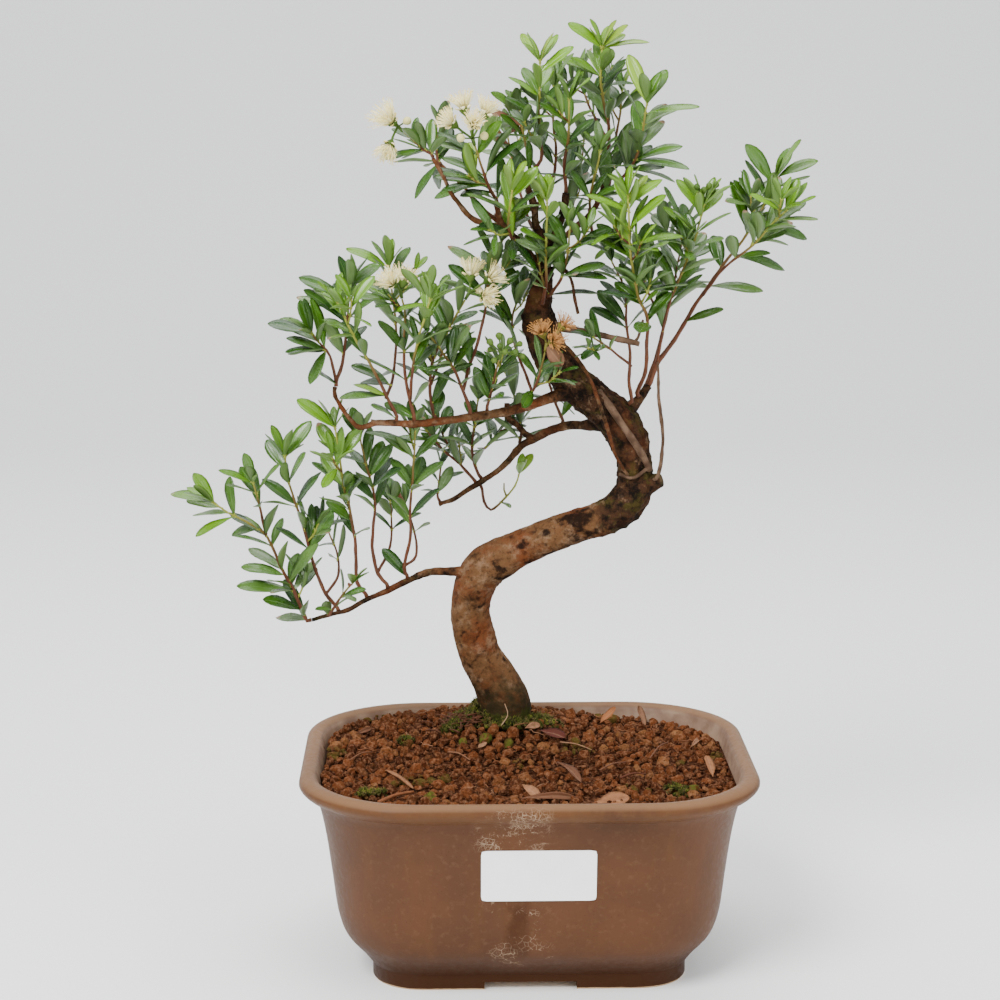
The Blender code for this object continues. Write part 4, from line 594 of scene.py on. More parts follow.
# Grain sizes: how many, smallest and largest radius
GRAIN_SIZES = ((230, 3.3, 4.9), (640, 2.2, 3.3), (1500, 1.1, 2.1))
GRAIN_SHAPES = 14
GRAIN_CUTS = 11
GRAIN_CLOSE = 0.84  # share of the sum of the radii that keeps two grains apart
GRAIN_CELL = 10.0
GRAIN_TRIES = 14  # for each one wanted
GRAIN_ROOM = 11.0  # from the trunk's middle
# Large grains: place in the front view, radius and how green
PEBBLES = (
    (486, 734, 3.6, 1.0), (463, 736, 2.8, 1.0), (508, 738, 3.2, 0.9), (513, 728, 4.4, 0.0),
    (464, 776, 5.6, 0.0), (483, 785, 5.4, 0.0), (412, 796, 4.6, 0.0), (327, 769, 4.6, 0.0),
    (320, 742, 3.4, 0.0), (406, 748, 4.4, 0.0), (590, 741, 3.6, 0.0), (545, 750, 3.6, 0.0),
    (430, 792, 3.8, 1.0), (690, 784, 4.6, 0.9), (680, 790, 4.0, 0.8),
)
MOSS_CLIMB = 6.0  # up the trunk's foot
MOSS_ROOM = 11.5  # from the trunk's middle
MOSS_RAYS = 5  # of a shoot
# Moss: centre, half width, half depth, strength
MOSS_PATCHES = ((-24, 40, 17, 15, 1.0), (-36, 28, 9, 8, 0.8), (-8, 26, 15, 6, 0.55), (7, 36, 13, 10, 0.5),
    (-10, 54, 15, 8, 0.8), (-75, -55, 8, 6, 0.9), (-60, 20, 5, 4, 0.5), (71, -42, 7, 9, 0.4))
# Fallen pieces: draw, redness and paleness
LITTER_TONE = {
    "fallen_leaf_1": (0.1, 1.0, 0.0), "fallen_leaf_2": (0.2, 0.3, 0.1), "fallen_leaf_3": (0.9, 0.0, 0.2),
    "fallen_leaf_4": (0.9, 0.0, 0.15), "fallen_leaf_5": (1.0, 0.0, 0.0), "fallen_leaf_6": (0.5, 0.3, 0.3),
}
# Dark twigs heaped beside the trunk, and pale threads all over
HEAP_PLACE = Vector((-29.0, 33.0, 0.0))
HEAP_TWIGS = 90
LOOSE_THREADS = 34
STAND_BOW = 2.4  # sideways, of a thread that stands up
# Scraps on the soil: both ends in the front view, breadth, rise (over 1 stands up), tone
SCRAPS = (
    ((385, 770), (413, 786), 3.2, 0.2, (0.9, 0.0, 0.25)),
    ((525, 728), (540, 724), 4.0, 0.2, (0.8, 0.3, 0.3)),
    ((522, 784), (540, 798), 5.0, 0.2, (1.0, 0.0, 0.3)),
    ((521, 798), (580, 796), 3.6, 0.3, (0.3, 0.2, 0.1)),
    ((478, 748), (486, 742), 3.4, 0.2, (0.7, 0.1, 0.4)),
    ((501, 726), (505, 703), 0.55, 1.3, (0.9, 0.0, 1.0)),
    ((448, 752), (470, 760), 1.0, 0.3, (0.5, 0.2, 0.2)),
    ((600, 770), (626, 762), 0.9, 0.2, (0.3, 0.4, 0.1)),
    ((650, 758), (668, 742), 0.9, 0.2, (0.3, 0.3, 0.1)),
    ((560, 742), (592, 750), 0.8, 0.2, (0.6, 0.1, 0.4)),
    ((350, 760), (372, 752), 0.9, 0.3, (0.4, 0.3, 0.1)),
    ((690, 748), (702, 736), 2.6, 0.3, (0.7, 0.1, 0.3)),
    ((356, 734), (372, 728), 2.6, 0.3, (0.3, 0.4, 0.1)),
    ((620, 778), (646, 774), 1.1, 0.3, (0.2, 0.4, 0.0)),
)

# Lights: place and aim in metres, size and power
LAMPS = (
    ("key", (-0.9, -1.3, 1.7), (0.0, 0.0, 0.2), 1.1, 74.0),
    ("fill", (1.3, -1.1, 1.0), (0.0, 0.0, 0.2), 1.6, 22.0),
    ("top", (0.0, 0.5, 2.0), (0.0, 0.0, 0.2), 1.6, 30.0),
)


def seen(across, down, depth):
    """The point, in mm, that the front view shows at this place, at this depth."""
    right = (across - VIEW_MIDDLE) / VIEW_FOCAL
    rise = (VIEW_MIDDLE - down) / VIEW_FOCAL
    ray = Vector((
        right,
        math.cos(VIEW_DOWN) + rise * math.sin(VIEW_DOWN),
        rise * math.cos(VIEW_DOWN) - math.sin(VIEW_DOWN),
    ))
    return Matrix.Rotation(-VIEW_TURN, 3, "Z") @ (EYE + ray * ((depth - EYE.y) / ray.y))


def between(before, start, end, after, t):
    """The point at share t of the smooth curve from start to end."""
    return 0.5 * (
        2 * start + (end - before) * t + (2 * before - 5 * start + 4 * end - after) * t ** 2
        + (3 * start - before - 3 * end + after) * t ** 3
    )


def smooth(points, step):
    """Points about a step apart on the smooth curve through the given ones."""
    ends = [points[0] * 2 - points[1]] + list(points) + [points[-1] * 2 - points[-2]]
    path = [points[0].copy()]
    for before, start, end, after in zip(ends, ends[1:], ends[2:], ends[3:]):
        count = max(1, round((end - start).length / step))
        path += [between(before, start, end, after, index / count) for index in range(1, count + 1)]
    return path


def tube(path, radii, sides, swell=None):
    """Corners and faces of a closed tube; swell(ring, corner) may change each radius."""
    verts = []
    across = Vector((1, 0, 0))
    if abs((path[1] - path[0]).normalized().x) > 0.8:
        across = Vector((0, 1, 0))
    for ring, (point, radius) in enumerate(zip(path, radii)):
        ahead = (path[min(ring + 1, len(path) - 1)] - path[max(ring - 1, 0)]).normalized()
        across = (across - ahead * across.dot(ahead)).normalized()
        other = ahead.cross(across)
        for corner in range(sides):
            angle = math.tau * corner / sides
            reach = radius * (swell(ring, corner) if swell else 1)
            verts.append(point + (across * math.cos(angle) + other * math.sin(angle)) * reach)
    faces = [tuple(reversed(range(sides)))]
    for ring in range(len(path) - 1):
        for corner in range(sides):
            low = ring * sides
            turn = (corner + 1) % sides
            faces.append((low + corner, low + turn, low + sides + turn, low + sides + corner))
    faces.append(tuple(range(len(verts) - sides, len(verts))))
    return verts, faces


def taper(start, end, count):
    return [start + (end - start) * index / (count - 1) for index in range(count)]


def leaf_shell(leaf, swell=0.0, start=0.0):
    """Corners and faces of a closed blade, flat above, keeled below and arched along its rib."""
    def rib(share):
        arch = leaf.length * LEAF_ARCH * 4 * share * (1 - share)
        return leaf.base + leaf.along * leaf.length * share + leaf.up * arch

    verts = [rib(start) - leaf.up * END_KEEL]
    for share, breadth in LEAF_SECTIONS:
        half = leaf.side * (leaf.breadth * breadth / 2 + swell)
        middle = rib(max(share, start + 0.1))
        verts += [middle - half + leaf.up * swell, middle + half + leaf.up * swell]
        verts.append(middle - leaf.up * (LEAF_KEEL + swell))
    verts.append(rib(1.0) + leaf.along * swell - leaf.up * END_KEEL)
    faces = [(0, 1, 2), (0, 2, 3), (0, 3, 1)]
    for corner in range(3):
        turn = (corner + 1) % 3
        faces.append((1 + turn, 1 + corner, 4 + corner, 4 + turn))
    faces += [(5, 4, 7), (6, 5, 7), (4, 6, 7)]
    return verts, faces


class Solid:
    """A shape that others have to keep clear of."""

    def __init__(self, verts, faces):
        self.tree = BVHTree.FromPolygons(verts, faces)
        self.low = [min(v[axis] for v in verts) for axis in range(3)]
        self.high = [max(v[axis] for v in verts) for axis in range(3)]

    def meets(self, others):
        for other in others:
            apart = any(
                self.high[axis] < other.low[axis] or other.high[axis] < self.low[axis] for axis in range(3)
            )
            if not apart and self.tree.overlap(other.tree):
                return True
        return False


def trunk_path(step):
    """The trunk's middle line and its radii, about a step apart."""
    rows = [point.copy() for point in TRUNK_FOOT] + [seen(*row[:3]) for row in TRUNK]
    thick = [TRUNK_FOOT_THICK, TRUNK_FOOT_THICK] + [row[3] for row in TRUNK]
    fine = smooth([Vector((*point, size)) for point, size in zip(rows, thick)], step)
    return [point.xyz for point in fine], [point.w / 2 for point in fine]


def trunk_shell():
    """The trunk's uneven body, as the model has it."""
    path, radii = trunk_path(TRUNK_STEP)
    draw = random.Random(SEED)
    dents = [[draw.uniform(-TRUNK_DENT, TRUNK_DENT) for _ in range(TRUNK_SIDES)] for _ in path]

    def swell(ring, corner):
        angle = math.tau * corner / TRUNK_SIDES
        waves = sum(share * math.sin(count * angle + ring * turn) for share, count, turn in TRUNK_WAVES)
        return 1 + waves + dents[ring][corner]

    return tube(path, radii, TRUNK_SIDES, swell)


def limb_shell(name):
    start, end, rows = LIMBS[name]
    path = smooth([seen(*row) for row in rows], LIMB_STEP)
    return tube(path, taper(start / 2, end / 2, len(path)), LIMB_SIDES)


def blade(base, along, length, breadth, young, lift):
    """A leaf with its upper face towards the light; lift is the way that light comes from."""
    along = along.normalized()
    up = lift - along * lift.dot(along)
    if up.length < 0.2:
        up = along.orthogonal()
    up.normalize()
    return Leaf(base, along, along.cross(up), up, length, breadth, young)


class Growth:
    """Grows the sprays one after another, each clear of all that stands already."""

    def __init__(self):
        self.draw = random.Random(SEED)
        self.wood = [Solid(*trunk_shell())] + [Solid(*limb_shell(name)) for name in LIMBS]
        self.stems = {}
        self.leaves = {name: [] for name in SPRAYS}
        self.solids = {name: [] for name in SPRAYS}
        self.clusters = {}

    def seat(self, point):
        """The nearest place on the wood, and the way out of it."""
        best = min((solid.tree.find_nearest(point) for solid in self.wood), key=lambda found: found[3])
        return best[0], best[1]

    def others(self, name):
        found = list(self.wood)
        for other, solids in self.solids.items():
            if other != name:
                found += solids
        return found

    def stem_path(self, name, row, bow):
        """A stem's path; bow moves its middle nearer or farther along the line of sight."""
        last = len(row.path) - 1
        points = []
        for index, (across, down, depth) in enumerate(row.path):
            share = math.sin(math.pi * min(1.0, index / last * 0.8))
            points.append(seen(across, down, depth + bow * share))
        if not self.stems.get(name):
            seat, out = self.seat(points[0])
            points[0] = seat + out * GAP
            points.insert(1, points[0] + out * STEM_RISE)
        return smooth(points, STEM_STEP)

    def grow_stem(self, name, row):
        others = self.others(name)
        for bow in STEM_BOWS:
            path = self.stem_path(name, row, bow)
            skip = 2 if not self.stems.get(name) else 0
            width = row.thick / 2 + CLEAR
            outer = Solid(*tube(path[skip:], taper(width, STEM_END + CLEAR, len(path) - skip), 4))
            if not outer.meets(others):
                break
        self.stems.setdefault(name, []).append((row, path))
        self.solids[name].append(Solid(*tube(path, taper(width, STEM_END + CLEAR, len(path)), 4)))

    def put(self, name, leaf, others, mine):
        """Adds the leaf if it is clear of the others, and close to its own spray's leaves at most."""
        shape = Solid(*leaf_shell(leaf, CLEAR))
        outer = Solid(*leaf_shell(leaf, CLOSE, LEAF_FREE))
        if shape.meets(others) or outer.meets(mine):
            return False
        self.leaves[name].append(leaf)
        self.solids[name].append(shape)
        mine.append(outer)
        return True

    def reach_tip(self, name, row, path, tip, others, mine):
        """A leaf whose tip shows at this place in the front view."""
        choices = []
        shortest, longest = [row.leaf * share for share in TIP_REACH]
        for index in range(1, len(path)):
            for part in (0.0, 0.5):
                foot = path[index] + (path[index - 1] - path[index]) * part
                ahead = (path[index] - path[index - 1]).normalized()
                for nearer in (0, 5, -5, 10, -10):
                    reach = seen(*tip, foot.y + nearer) - foot
                    turn = reach.angle(ahead)
                    if shortest <= reach.length <= longest and turn <= TIP_TURN:
                        oddness = abs(turn - 0.8) + abs(reach.length - row.leaf) / row.leaf
                        choices.append((oddness, len(choices), foot, reach))
        for _, _, foot, reach in sorted(choices)[:12]:
            lift = Vector((self.draw.uniform(-0.4, 0.4), -0.55, 1.0))
            base = foot - reach.normalized() * LEAF_SINK
            leaf = blade(base, reach, reach.length, row.leaf * LEAF_BREADTH, row.young, lift)
            if self.put(name, leaf, others, mine):
                return

    def leaf_pairs(self, name, row, path, others, mine):
        """Opposite pairs, each a quarter turn from the last, and a closer pair at the tip."""
        turn = self.draw.uniform(0, math.tau)
        across = (path[1] - path[0]).orthogonal().normalized()
        for pair in range(row.pairs):
            share = row.bare + (1 - row.bare) * (pair + 0.6) / (row.pairs - 0.4)
            spot = min(share, 1.0) * (len(path) - 1)
            index = min(int(spot), len(path) - 2)
            foot = path[index].lerp(path[index + 1], spot - index)
            ahead = (path[index + 1] - path[index]).normalized()
            across = (across - ahead * across.dot(ahead)).normalized()
            last = pair == row.pairs - 1
            spread = 0.45 if last else self.draw.uniform(0.85, 1.1)
            size = row.leaf * (0.85 if last else self.draw.uniform(0.9, 1.08))
            turn += math.pi / 2 + self.draw.uniform(-0.2, 0.2)
            for half in (0, math.pi):
                for shift, lean, shrink in LEAF_TRIES:
                    out = Matrix.Rotation(turn + half + shift, 3, ahead) @ across
                    angle = spread + lean
                    along = ahead * math.cos(angle) + out * math.sin(angle) + Vector((0, 0, 0.15))
                    lift = Vector((0, -0.15, 1.0)) + ahead * 0.5
                    length = size * shrink
                    base = foot - along.normalized() * LEAF_SINK
                    leaf = blade(base, along, length, length * LEAF_BREADTH, row.young, lift)
                    if self.put(name, leaf, others, mine):
                        break

    def grow_cluster(self, name, cluster):
        """Stalks, blooms and buds that carry on from the tip of a spray's first stem."""
        path = self.stems[cluster.spray][0][1]
        ahead = (path[-1] - path[-2]).normalized()
        foot = path[-1] + ahead * GAP
        fork = foot + ahead * FORK_REACH
        parts = []
        for across, down, depth, size in cluster.blooms:
            parts.append(("bloom", fork, seen(across, down, depth), size))
        for across, down, depth in cluster.buds:
            parts.append(("bud", fork, seen(across, down, depth), BUD_RADIUS))
        self.clusters[name] = (foot, fork, parts)
        solids = [Solid(*tube([foot + ahead * 0.4, fork + ahead], [1.2, 1.2], 4))]
        for _, start, heart, size in parts:
            way = (heart - start).normalized()
            solids.append(Solid(*tube([start, heart - way * size * 0.6], [1.2, 1.2], 4)))
            girth = [size * 0.6, size * 1.2 + 0.5, size * 1.0]
            solids.append(Solid(*tube([heart - way * size, heart, heart + way * size], girth, 6)))
        self.solids[name] = solids

    def run(self):
        for name, rows in SPRAYS.items():
            for row in rows:
                self.grow_stem(name, row)
        for name, cluster in CLUSTERS.items():
            self.grow_cluster(name, cluster)
        for name in SPRAYS:
            others = self.others(name)
            mine = []
            for row, path in self.stems[name]:
                for tip in row.tips:
                    self.reach_tip(name, row, path, tip, others, mine)
        for name in SPRAYS:
            others = self.others(name)
            mine = [Solid(*leaf_shell(leaf, CLOSE, LEAF_FREE)) for leaf in self.leaves[name]]
            for row, path in self.stems[name]:
                self.leaf_pairs(name, row, path, others, mine)


def from_trunk(x, y):
    """How far a place on the soil is from the trunk's middle."""
    return math.hypot(x - TRUNK_FOOT[1].x, y - TRUNK_FOOT[1].y)


def soil_height(x, y):
    """The soil's level before its grains: mounded round the trunk."""
    away = (x - TRUNK_FOOT[1].x) ** 2 + (y - TRUNK_FOOT[1].y) ** 2
    mound = MOUND_HEIGHT * math.exp(-away / (2 * MOUND_SPREAD ** 2))
    return SOIL_LEVEL + mound + SOIL_SLOPE[0] * x + SOIL_SLOPE[1] * y


def shown(point):
    """Where the front view shows a point: across and down."""
    away = Matrix.Rotation(VIEW_TURN, 3, "Z") @ point - EYE
    ahead = away.y * math.cos(VIEW_DOWN) - away.z * math.sin(VIEW_DOWN)
    rise = away.y * math.sin(VIEW_DOWN) + away.z * math.cos(VIEW_DOWN)
    return VIEW_MIDDLE + VIEW_FOCAL * away.x / ahead, VIEW_MIDDLE - VIEW_FOCAL * rise / ahead


def ease(value, low, high):
    """0 below low, 1 above high, and smooth between them."""
    share = min(1.0, max(0.0, (value - low) / (high - low)))
    return share * share * (3 - 2 * share)


class Heap:
    """Many small shapes that become one piece; tone and blade are colours that its materials read."""

    def __init__(self):
        self.verts = []
        self.faces = []
        self.looks = []
        self.tone = []
        self.blade = []

    def add(self, verts, faces, tone=(0.5, 0.0, 0.0), look=0, blade=(0.0, 0.0, 0.0)):
        start = len(self.verts)
        self.verts += verts
        self.faces += [[start + index for index in face] for face in faces]
        self.looks += [look] * len(faces)
        self.tone += tone if isinstance(tone, list) else [tone] * len(verts)
        self.blade += blade if isinstance(blade, list) else [blade] * len(verts)

    def piece(self, name, materials, slot, nodes=(), smooth_faces=True):
        mesh = bpy.data.meshes.new(name)
        mesh.from_pydata([POT_PLACE + v * MM for v in self.verts], [], self.faces)
        mesh.polygons.foreach_set("material_index", self.looks)
        for label, rows in (("tone", self.tone), ("blade", self.blade)):
            layer = mesh.color_attributes.new(label, "FLOAT_COLOR", "POINT")
            layer.data.foreach_set("color", [value for row in rows for value in (*row, 1.0)])
        for material in materials:
            mesh.materials.append(material)
        if smooth_faces:
            mesh.shade_smooth()
        thing = bpy.data.objects.new(name, mesh)
        bpy.context.scene.collection.objects.link(thing)
        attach(thing, "root")
        if nodes:
            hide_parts(*nodes)
        return thing


class Finish:
    """A procedural material under construction."""

    def __init__(self, name):
        self.material = bpy.data.materials.new(name)
        self.material.use_nodes = True
        self.tree = self.material.node_tree
        self.shader = self.tree.nodes["Principled BSDF"]
        self.place = self.node("ShaderNodeTexCoord").outputs["Object"]

    def node(self, kind, **settings):
        made = self.tree.nodes.new(kind)
        for key, value in settings.items():
            setattr(made, key, value)
        return made

    def put(self, value, socket):
        if isinstance(value, bpy.types.NodeSocket):
            self.tree.links.new(value, socket)
        elif isinstance(value, (tuple, list)) and len(socket.default_value) == 4:
            socket.default_value = (*value[:3], 1.0)
        else:
            socket.default_value = value

    def math(self, operation, first, second=0.0):
        made = self.node("ShaderNodeMath", operation=operation)
        self.put(first, made.inputs[0])
        self.put(second, made.inputs[1])
        return made.outputs[0]

    def plus(self, first, second):
        return self.math("ADD", first, second)

    def minus(self, first, second):
        return self.math("SUBTRACT", first, second)

    def times(self, first, second):
        return self.math("MULTIPLY", first, second)

    def span(self, value, low, high, start=0.0, end=1.0):
        """The value carried smoothly from low..high to start..end."""
        made = self.node("ShaderNodeMapRange", interpolation_type="SMOOTHSTEP")
        for socket, item in zip(made.inputs, (value, low, high, start, end)):
            self.put(item, socket)
        return made.outputs[0]

    def blend(self, share, first, second):
        """The first colour where share is 0, the second where it is 1."""
        made = self.node("ShaderNodeMix", data_type="RGBA")
        self.put(share, made.inputs[0])
        self.put(first, made.inputs[6])
        self.put(second, made.inputs[7])
        return made.outputs[2]

    def noise(self, size, detail=3.0, rough=0.55, stretch=None, shift=0.0):
        """Noise with features about this many mm wide; stretch scales each axis."""
        made = self.node("ShaderNodeTexNoise")
        moved = self.node("ShaderNodeMapping")
        self.put(self.place, moved.inputs["Vector"])
        moved.inputs["Location"].default_value = (shift, shift * 0.7, shift * 1.3)
        moved.inputs["Scale"].default_value = stretch or (1, 1, 1)
        self.put(moved.outputs[0], made.inputs["Vector"])
        made.inputs["Scale"].default_value = 0.5 / (size * MM)
        made.inputs["Detail"].default_value = detail
        made.inputs["Roughness"].default_value = rough
        return made.outputs["Fac"]

    def cells(self, size):
        """Distance from the nearest of scattered points."""
        made = self.node("ShaderNodeTexVoronoi")
        self.put(self.place, made.inputs["Vector"])
        made.inputs["Scale"].default_value = 1.0 / (size * MM)
        return made.outputs["Distance"]

    def cracks(self, size, bend, shift=0.0):
        """Lines along the borders of cells about this wide, led astray by up to half of bend, in mm."""
        wander = self.node("ShaderNodeTexNoise")
        self.put(self.place, wander.inputs["Vector"])
        wander.inputs["Scale"].default_value = 0.6 / (size * MM)
        wander.inputs["Detail"].default_value = 5.0
        moved = self.node("ShaderNodeVectorMath", operation="MULTIPLY_ADD")
        self.put(wander.outputs["Color"], moved.inputs[0])
        self.put((bend * MM, bend * MM, bend * MM), moved.inputs[1])
        self.put(self.place, moved.inputs[2])
        again = self.node("ShaderNodeVectorMath", operation="ADD")
        self.put(moved.outputs[0], again.inputs[0])
        self.put((shift, shift, shift), again.inputs[1])
        made = self.node("ShaderNodeTexVoronoi", feature="DISTANCE_TO_EDGE")
        self.put(again.outputs[0], made.inputs["Vector"])
        made.inputs["Scale"].default_value = 1.0 / (size * MM)
        return self.span(made.outputs["Distance"], 0.012, 0.055, 1.0, 0.0)

    def parts(self, label):
        """The three numbers of a colour attribute."""
        made = self.node("ShaderNodeAttribute", attribute_name=label)
        split = self.node("ShaderNodeSeparateColor")
        self.put(made.outputs["Color"], split.inputs[0])
        return split.outputs[0], split.outputs[1], split.outputs[2]

    def axes(self):
        """Place on the object, in metres."""
        split = self.node("ShaderNodeSeparateXYZ")
        self.put(self.place, split.inputs[0])
        return split.outputs[0], split.outputs[1], split.outputs[2]

    def window(self, value, middle, half, soft):
        """1 within half of the middle, fading to 0 over soft."""
        away = self.math("ABSOLUTE", self.minus(value, middle))
        return self.span(away, half, half + soft, 1.0, 0.0)

    def bump(self, height, depth):
        made = self.node("ShaderNodeBump")
        made.inputs["Strength"].default_value = 1.0
        made.inputs["Distance"].default_value = depth * MM
        self.put(height, made.inputs["Height"])
        return made.outputs[0]

    def done(self, colour, rough, normal=None, **fixed):
        self.put(colour, self.shader.inputs["Base Color"])
        self.put(rough, self.shader.inputs["Roughness"])
        if normal:
            self.put(normal, self.shader.inputs["Normal"])
        for key, value in fixed.items():
            self.put(value, self.shader.inputs[key.replace("_", " ")])
        return self.material


def leaf_finish():
    """tone: draw, youth, withering. blade: along, off the rib, underside."""
    f = Finish("glossy_leaf")
    draw, youth, dry = f.parts("tone")
    along, off, under = f.parts("blade")
    old = f.blend(f.span(draw, 0.1, 0.8), LEAF_DARK, LEAF_MIDDLE)
    old = f.blend(f.span(draw, 0.82, 1.0, 0.0, 0.9), old, LEAF_DULL)
    fresh = f.blend(f.span(youth, 0.2, 0.7), old, LEAF_FRESH)
    fresh = f.blend(f.span(youth, 0.7, 1.0), fresh, LEAF_TIP)
    patch = f.span(f.noise(6.0, 3.0), 0.35, 0.7)
    colour = f.blend(f.times(patch, 0.12), fresh, LEAF_FRESH)
    rib = f.span(off, 0.02, 0.12, 1.0, 0.0)
    colour = f.blend(f.times(rib, 0.35), colour, LEAF_RIB)
    waves = f.math("SINE", f.times(f.minus(along, f.times(off, 0.16)), 95.0))
    veins = f.span(waves, 0.75, 1.0)
    colour = f.blend(f.times(veins, 0.07), colour, LEAF_RIB)
    colour = f.blend(f.times(under, 0.6), colour, LEAF_UNDER)
    edge = f.span(off, 0.92, 1.0)
    colour = f.blend(f.times(edge, 0.25), colour, LEAF_FRESH)
    scorched = f.times(f.span(draw, 0.93, 0.95), f.span(along, 0.9, 0.96))
    colour = f.blend(scorched, colour, DRY_PALE)
    brown = f.blend(f.noise(2.2, 4.0), DRY_DARK, DRY_LIGHT)
    colour = f.blend(dry, colour, brown)
    rough = f.plus(f.times(dry, 0.4), f.span(f.noise(3.0), 0.3, 0.7, 0.22, 0.34))
    rough = f.plus(rough, f.times(under, 0.25))
    height = f.minus(f.times(f.noise(1.6, 2.0), 0.3), f.times(rib, 0.6))
    height = f.minus(height, f.times(veins, 0.12))
    return f.done(colour, rough, f.bump(height, 0.16), Specular_IOR_Level=0.55)


def stem_finish():
    """tone: draw, youth, dryness."""
    f = Finish("young_stem")
    _, youth, dry = f.parts("tone")
    old = f.blend(f.noise(3.0, 4.0), STEM_DARK, STEM_RED)
    colour = f.blend(f.span(youth, 0.45, 0.95), old, STEM_GREEN)
    colour = f.blend(dry, colour, DRY_LIGHT)
    grain = f.noise(0.7, 4.0, 0.6, (1, 1, 0.35))
    colour = f.blend(f.span(grain, 0.45, 0.75, 0.0, 0.35), colour, STEM_PALE)
    return f.done(colour, 0.62, f.bump(grain, 0.25), Specular_IOR_Level=0.2)


def bark_finish():
    """tone: streak (which also carries painted shade on the trunk's undersides), age, moss."""
    f = Finish("rough_bark")
    streak, age, moss = f.parts("tone")
    z = f.axes()[2]
    large = f.noise(11.0, 4.0, 0.6)
    middle = f.noise(4.0, 5.0, 0.7, shift=0.4)
    fine = f.noise(1.2, 5.0, 0.7)
    flakes = f.cells(4.4)
    tan = f.blend(f.span(large, 0.4, 0.6), BARK_TAN, BARK_RED)
    tan = f.blend(f.span(middle, 0.48, 0.68, 0.0, 0.8), tan, BARK_GREY)
    speckle = f.minus(f.noise(1.1, 5.0, 0.75, shift=0.6), 0.5)
    spot = f.plus(streak, f.times(speckle, 1.1))
    tan = f.blend(f.span(spot, 0.5, 1.0, 0.0, 0.97), tan, BARK_DEEP)
    tan = f.blend(f.span(f.noise(7.5, 6.0, 0.75, shift=0.9), 0.55, 0.7, 0.0, 0.75), tan, BARK_DEEP)
    tan = f.blend(f.span(fine, 0.5, 0.72, 0.0, 0.6), tan, BARK_DEEP)
    low = f.plus(z, f.times(f.minus(f.noise(7.0, 6.0, 0.7, shift=0.3), 0.5), 0.09))
    tan = f.blend(f.span(low, BARK_FOOT[0], BARK_FOOT[1], 0.95, 0.0), tan, BARK_DIRT)
    dark = f.blend(f.span(f.noise(2.6, 6.0, 0.75, shift=0.2), 0.4, 0.6), BARK_BLACK, BARK_BROWN)
    dark = f.blend(f.span(middle, 0.5, 0.66, 0.0, 0.7), dark, BARK_OLIVE)
    dark = f.blend(f.span(f.noise(3.2, 6.0, 0.7, shift=0.8), 0.56, 0.7, 0.0, 0.6), dark, BARK_GREY)
    dark = f.blend(f.span(large, 0.5, 0.68, 0.0, 0.35), dark, BARK_RED)
    dark = f.blend(f.span(streak, 0.5, 1.0, 0.0, 0.85), dark, BARK_BLACK)
    edge = f.plus(age, f.times(f.minus(f.noise(6.0, 6.0, 0.7), 0.5), 1.6))
    colour = f.blend(f.span(edge, 0.3, 0.7), tan, dark)
    green = f.blend(f.noise(1.5, 3.0), MOSS_DARK, MOSS_MIDDLE)
    ragged = f.times(f.minus(f.noise(2.0, 6.0, 0.75), 0.5), 1.1)
    cover = f.span(f.plus(moss, ragged), 0.42, 0.68, 0.0, 0.8)
    colour = f.blend(cover, colour, green)
    height = f.plus(f.times(fine, 0.6), f.times(f.span(flakes, 0.0, 0.5), 0.4))
    height = f.plus(height, f.times(f.noise(3.5, 4.0, 0.6), 0.9))
    return f.done(colour, f.span(cover, 0.0, 1.0, 0.75, 0.95), f.bump(height, 1.2), Specular_IOR_Level=0.06)


def wood_finish():
    """Dead wood without its bark. tone: streak."""
    f = Finish("dead_wood")
    streak = f.parts("tone")[0]
    grain = f.noise(1.6, 5.0, 0.7)
    colour = f.blend(f.span(streak, 0.2, 0.8), WOOD_PALE, WOOD_DARK)
    colour = f.blend(f.span(grain, 0.45, 0.7, 0.0, 0.7), colour, WOOD_DARK)
    return f.done(colour, 0.8, f.bump(grain, 0.5), Specular_IOR_Level=0.1)


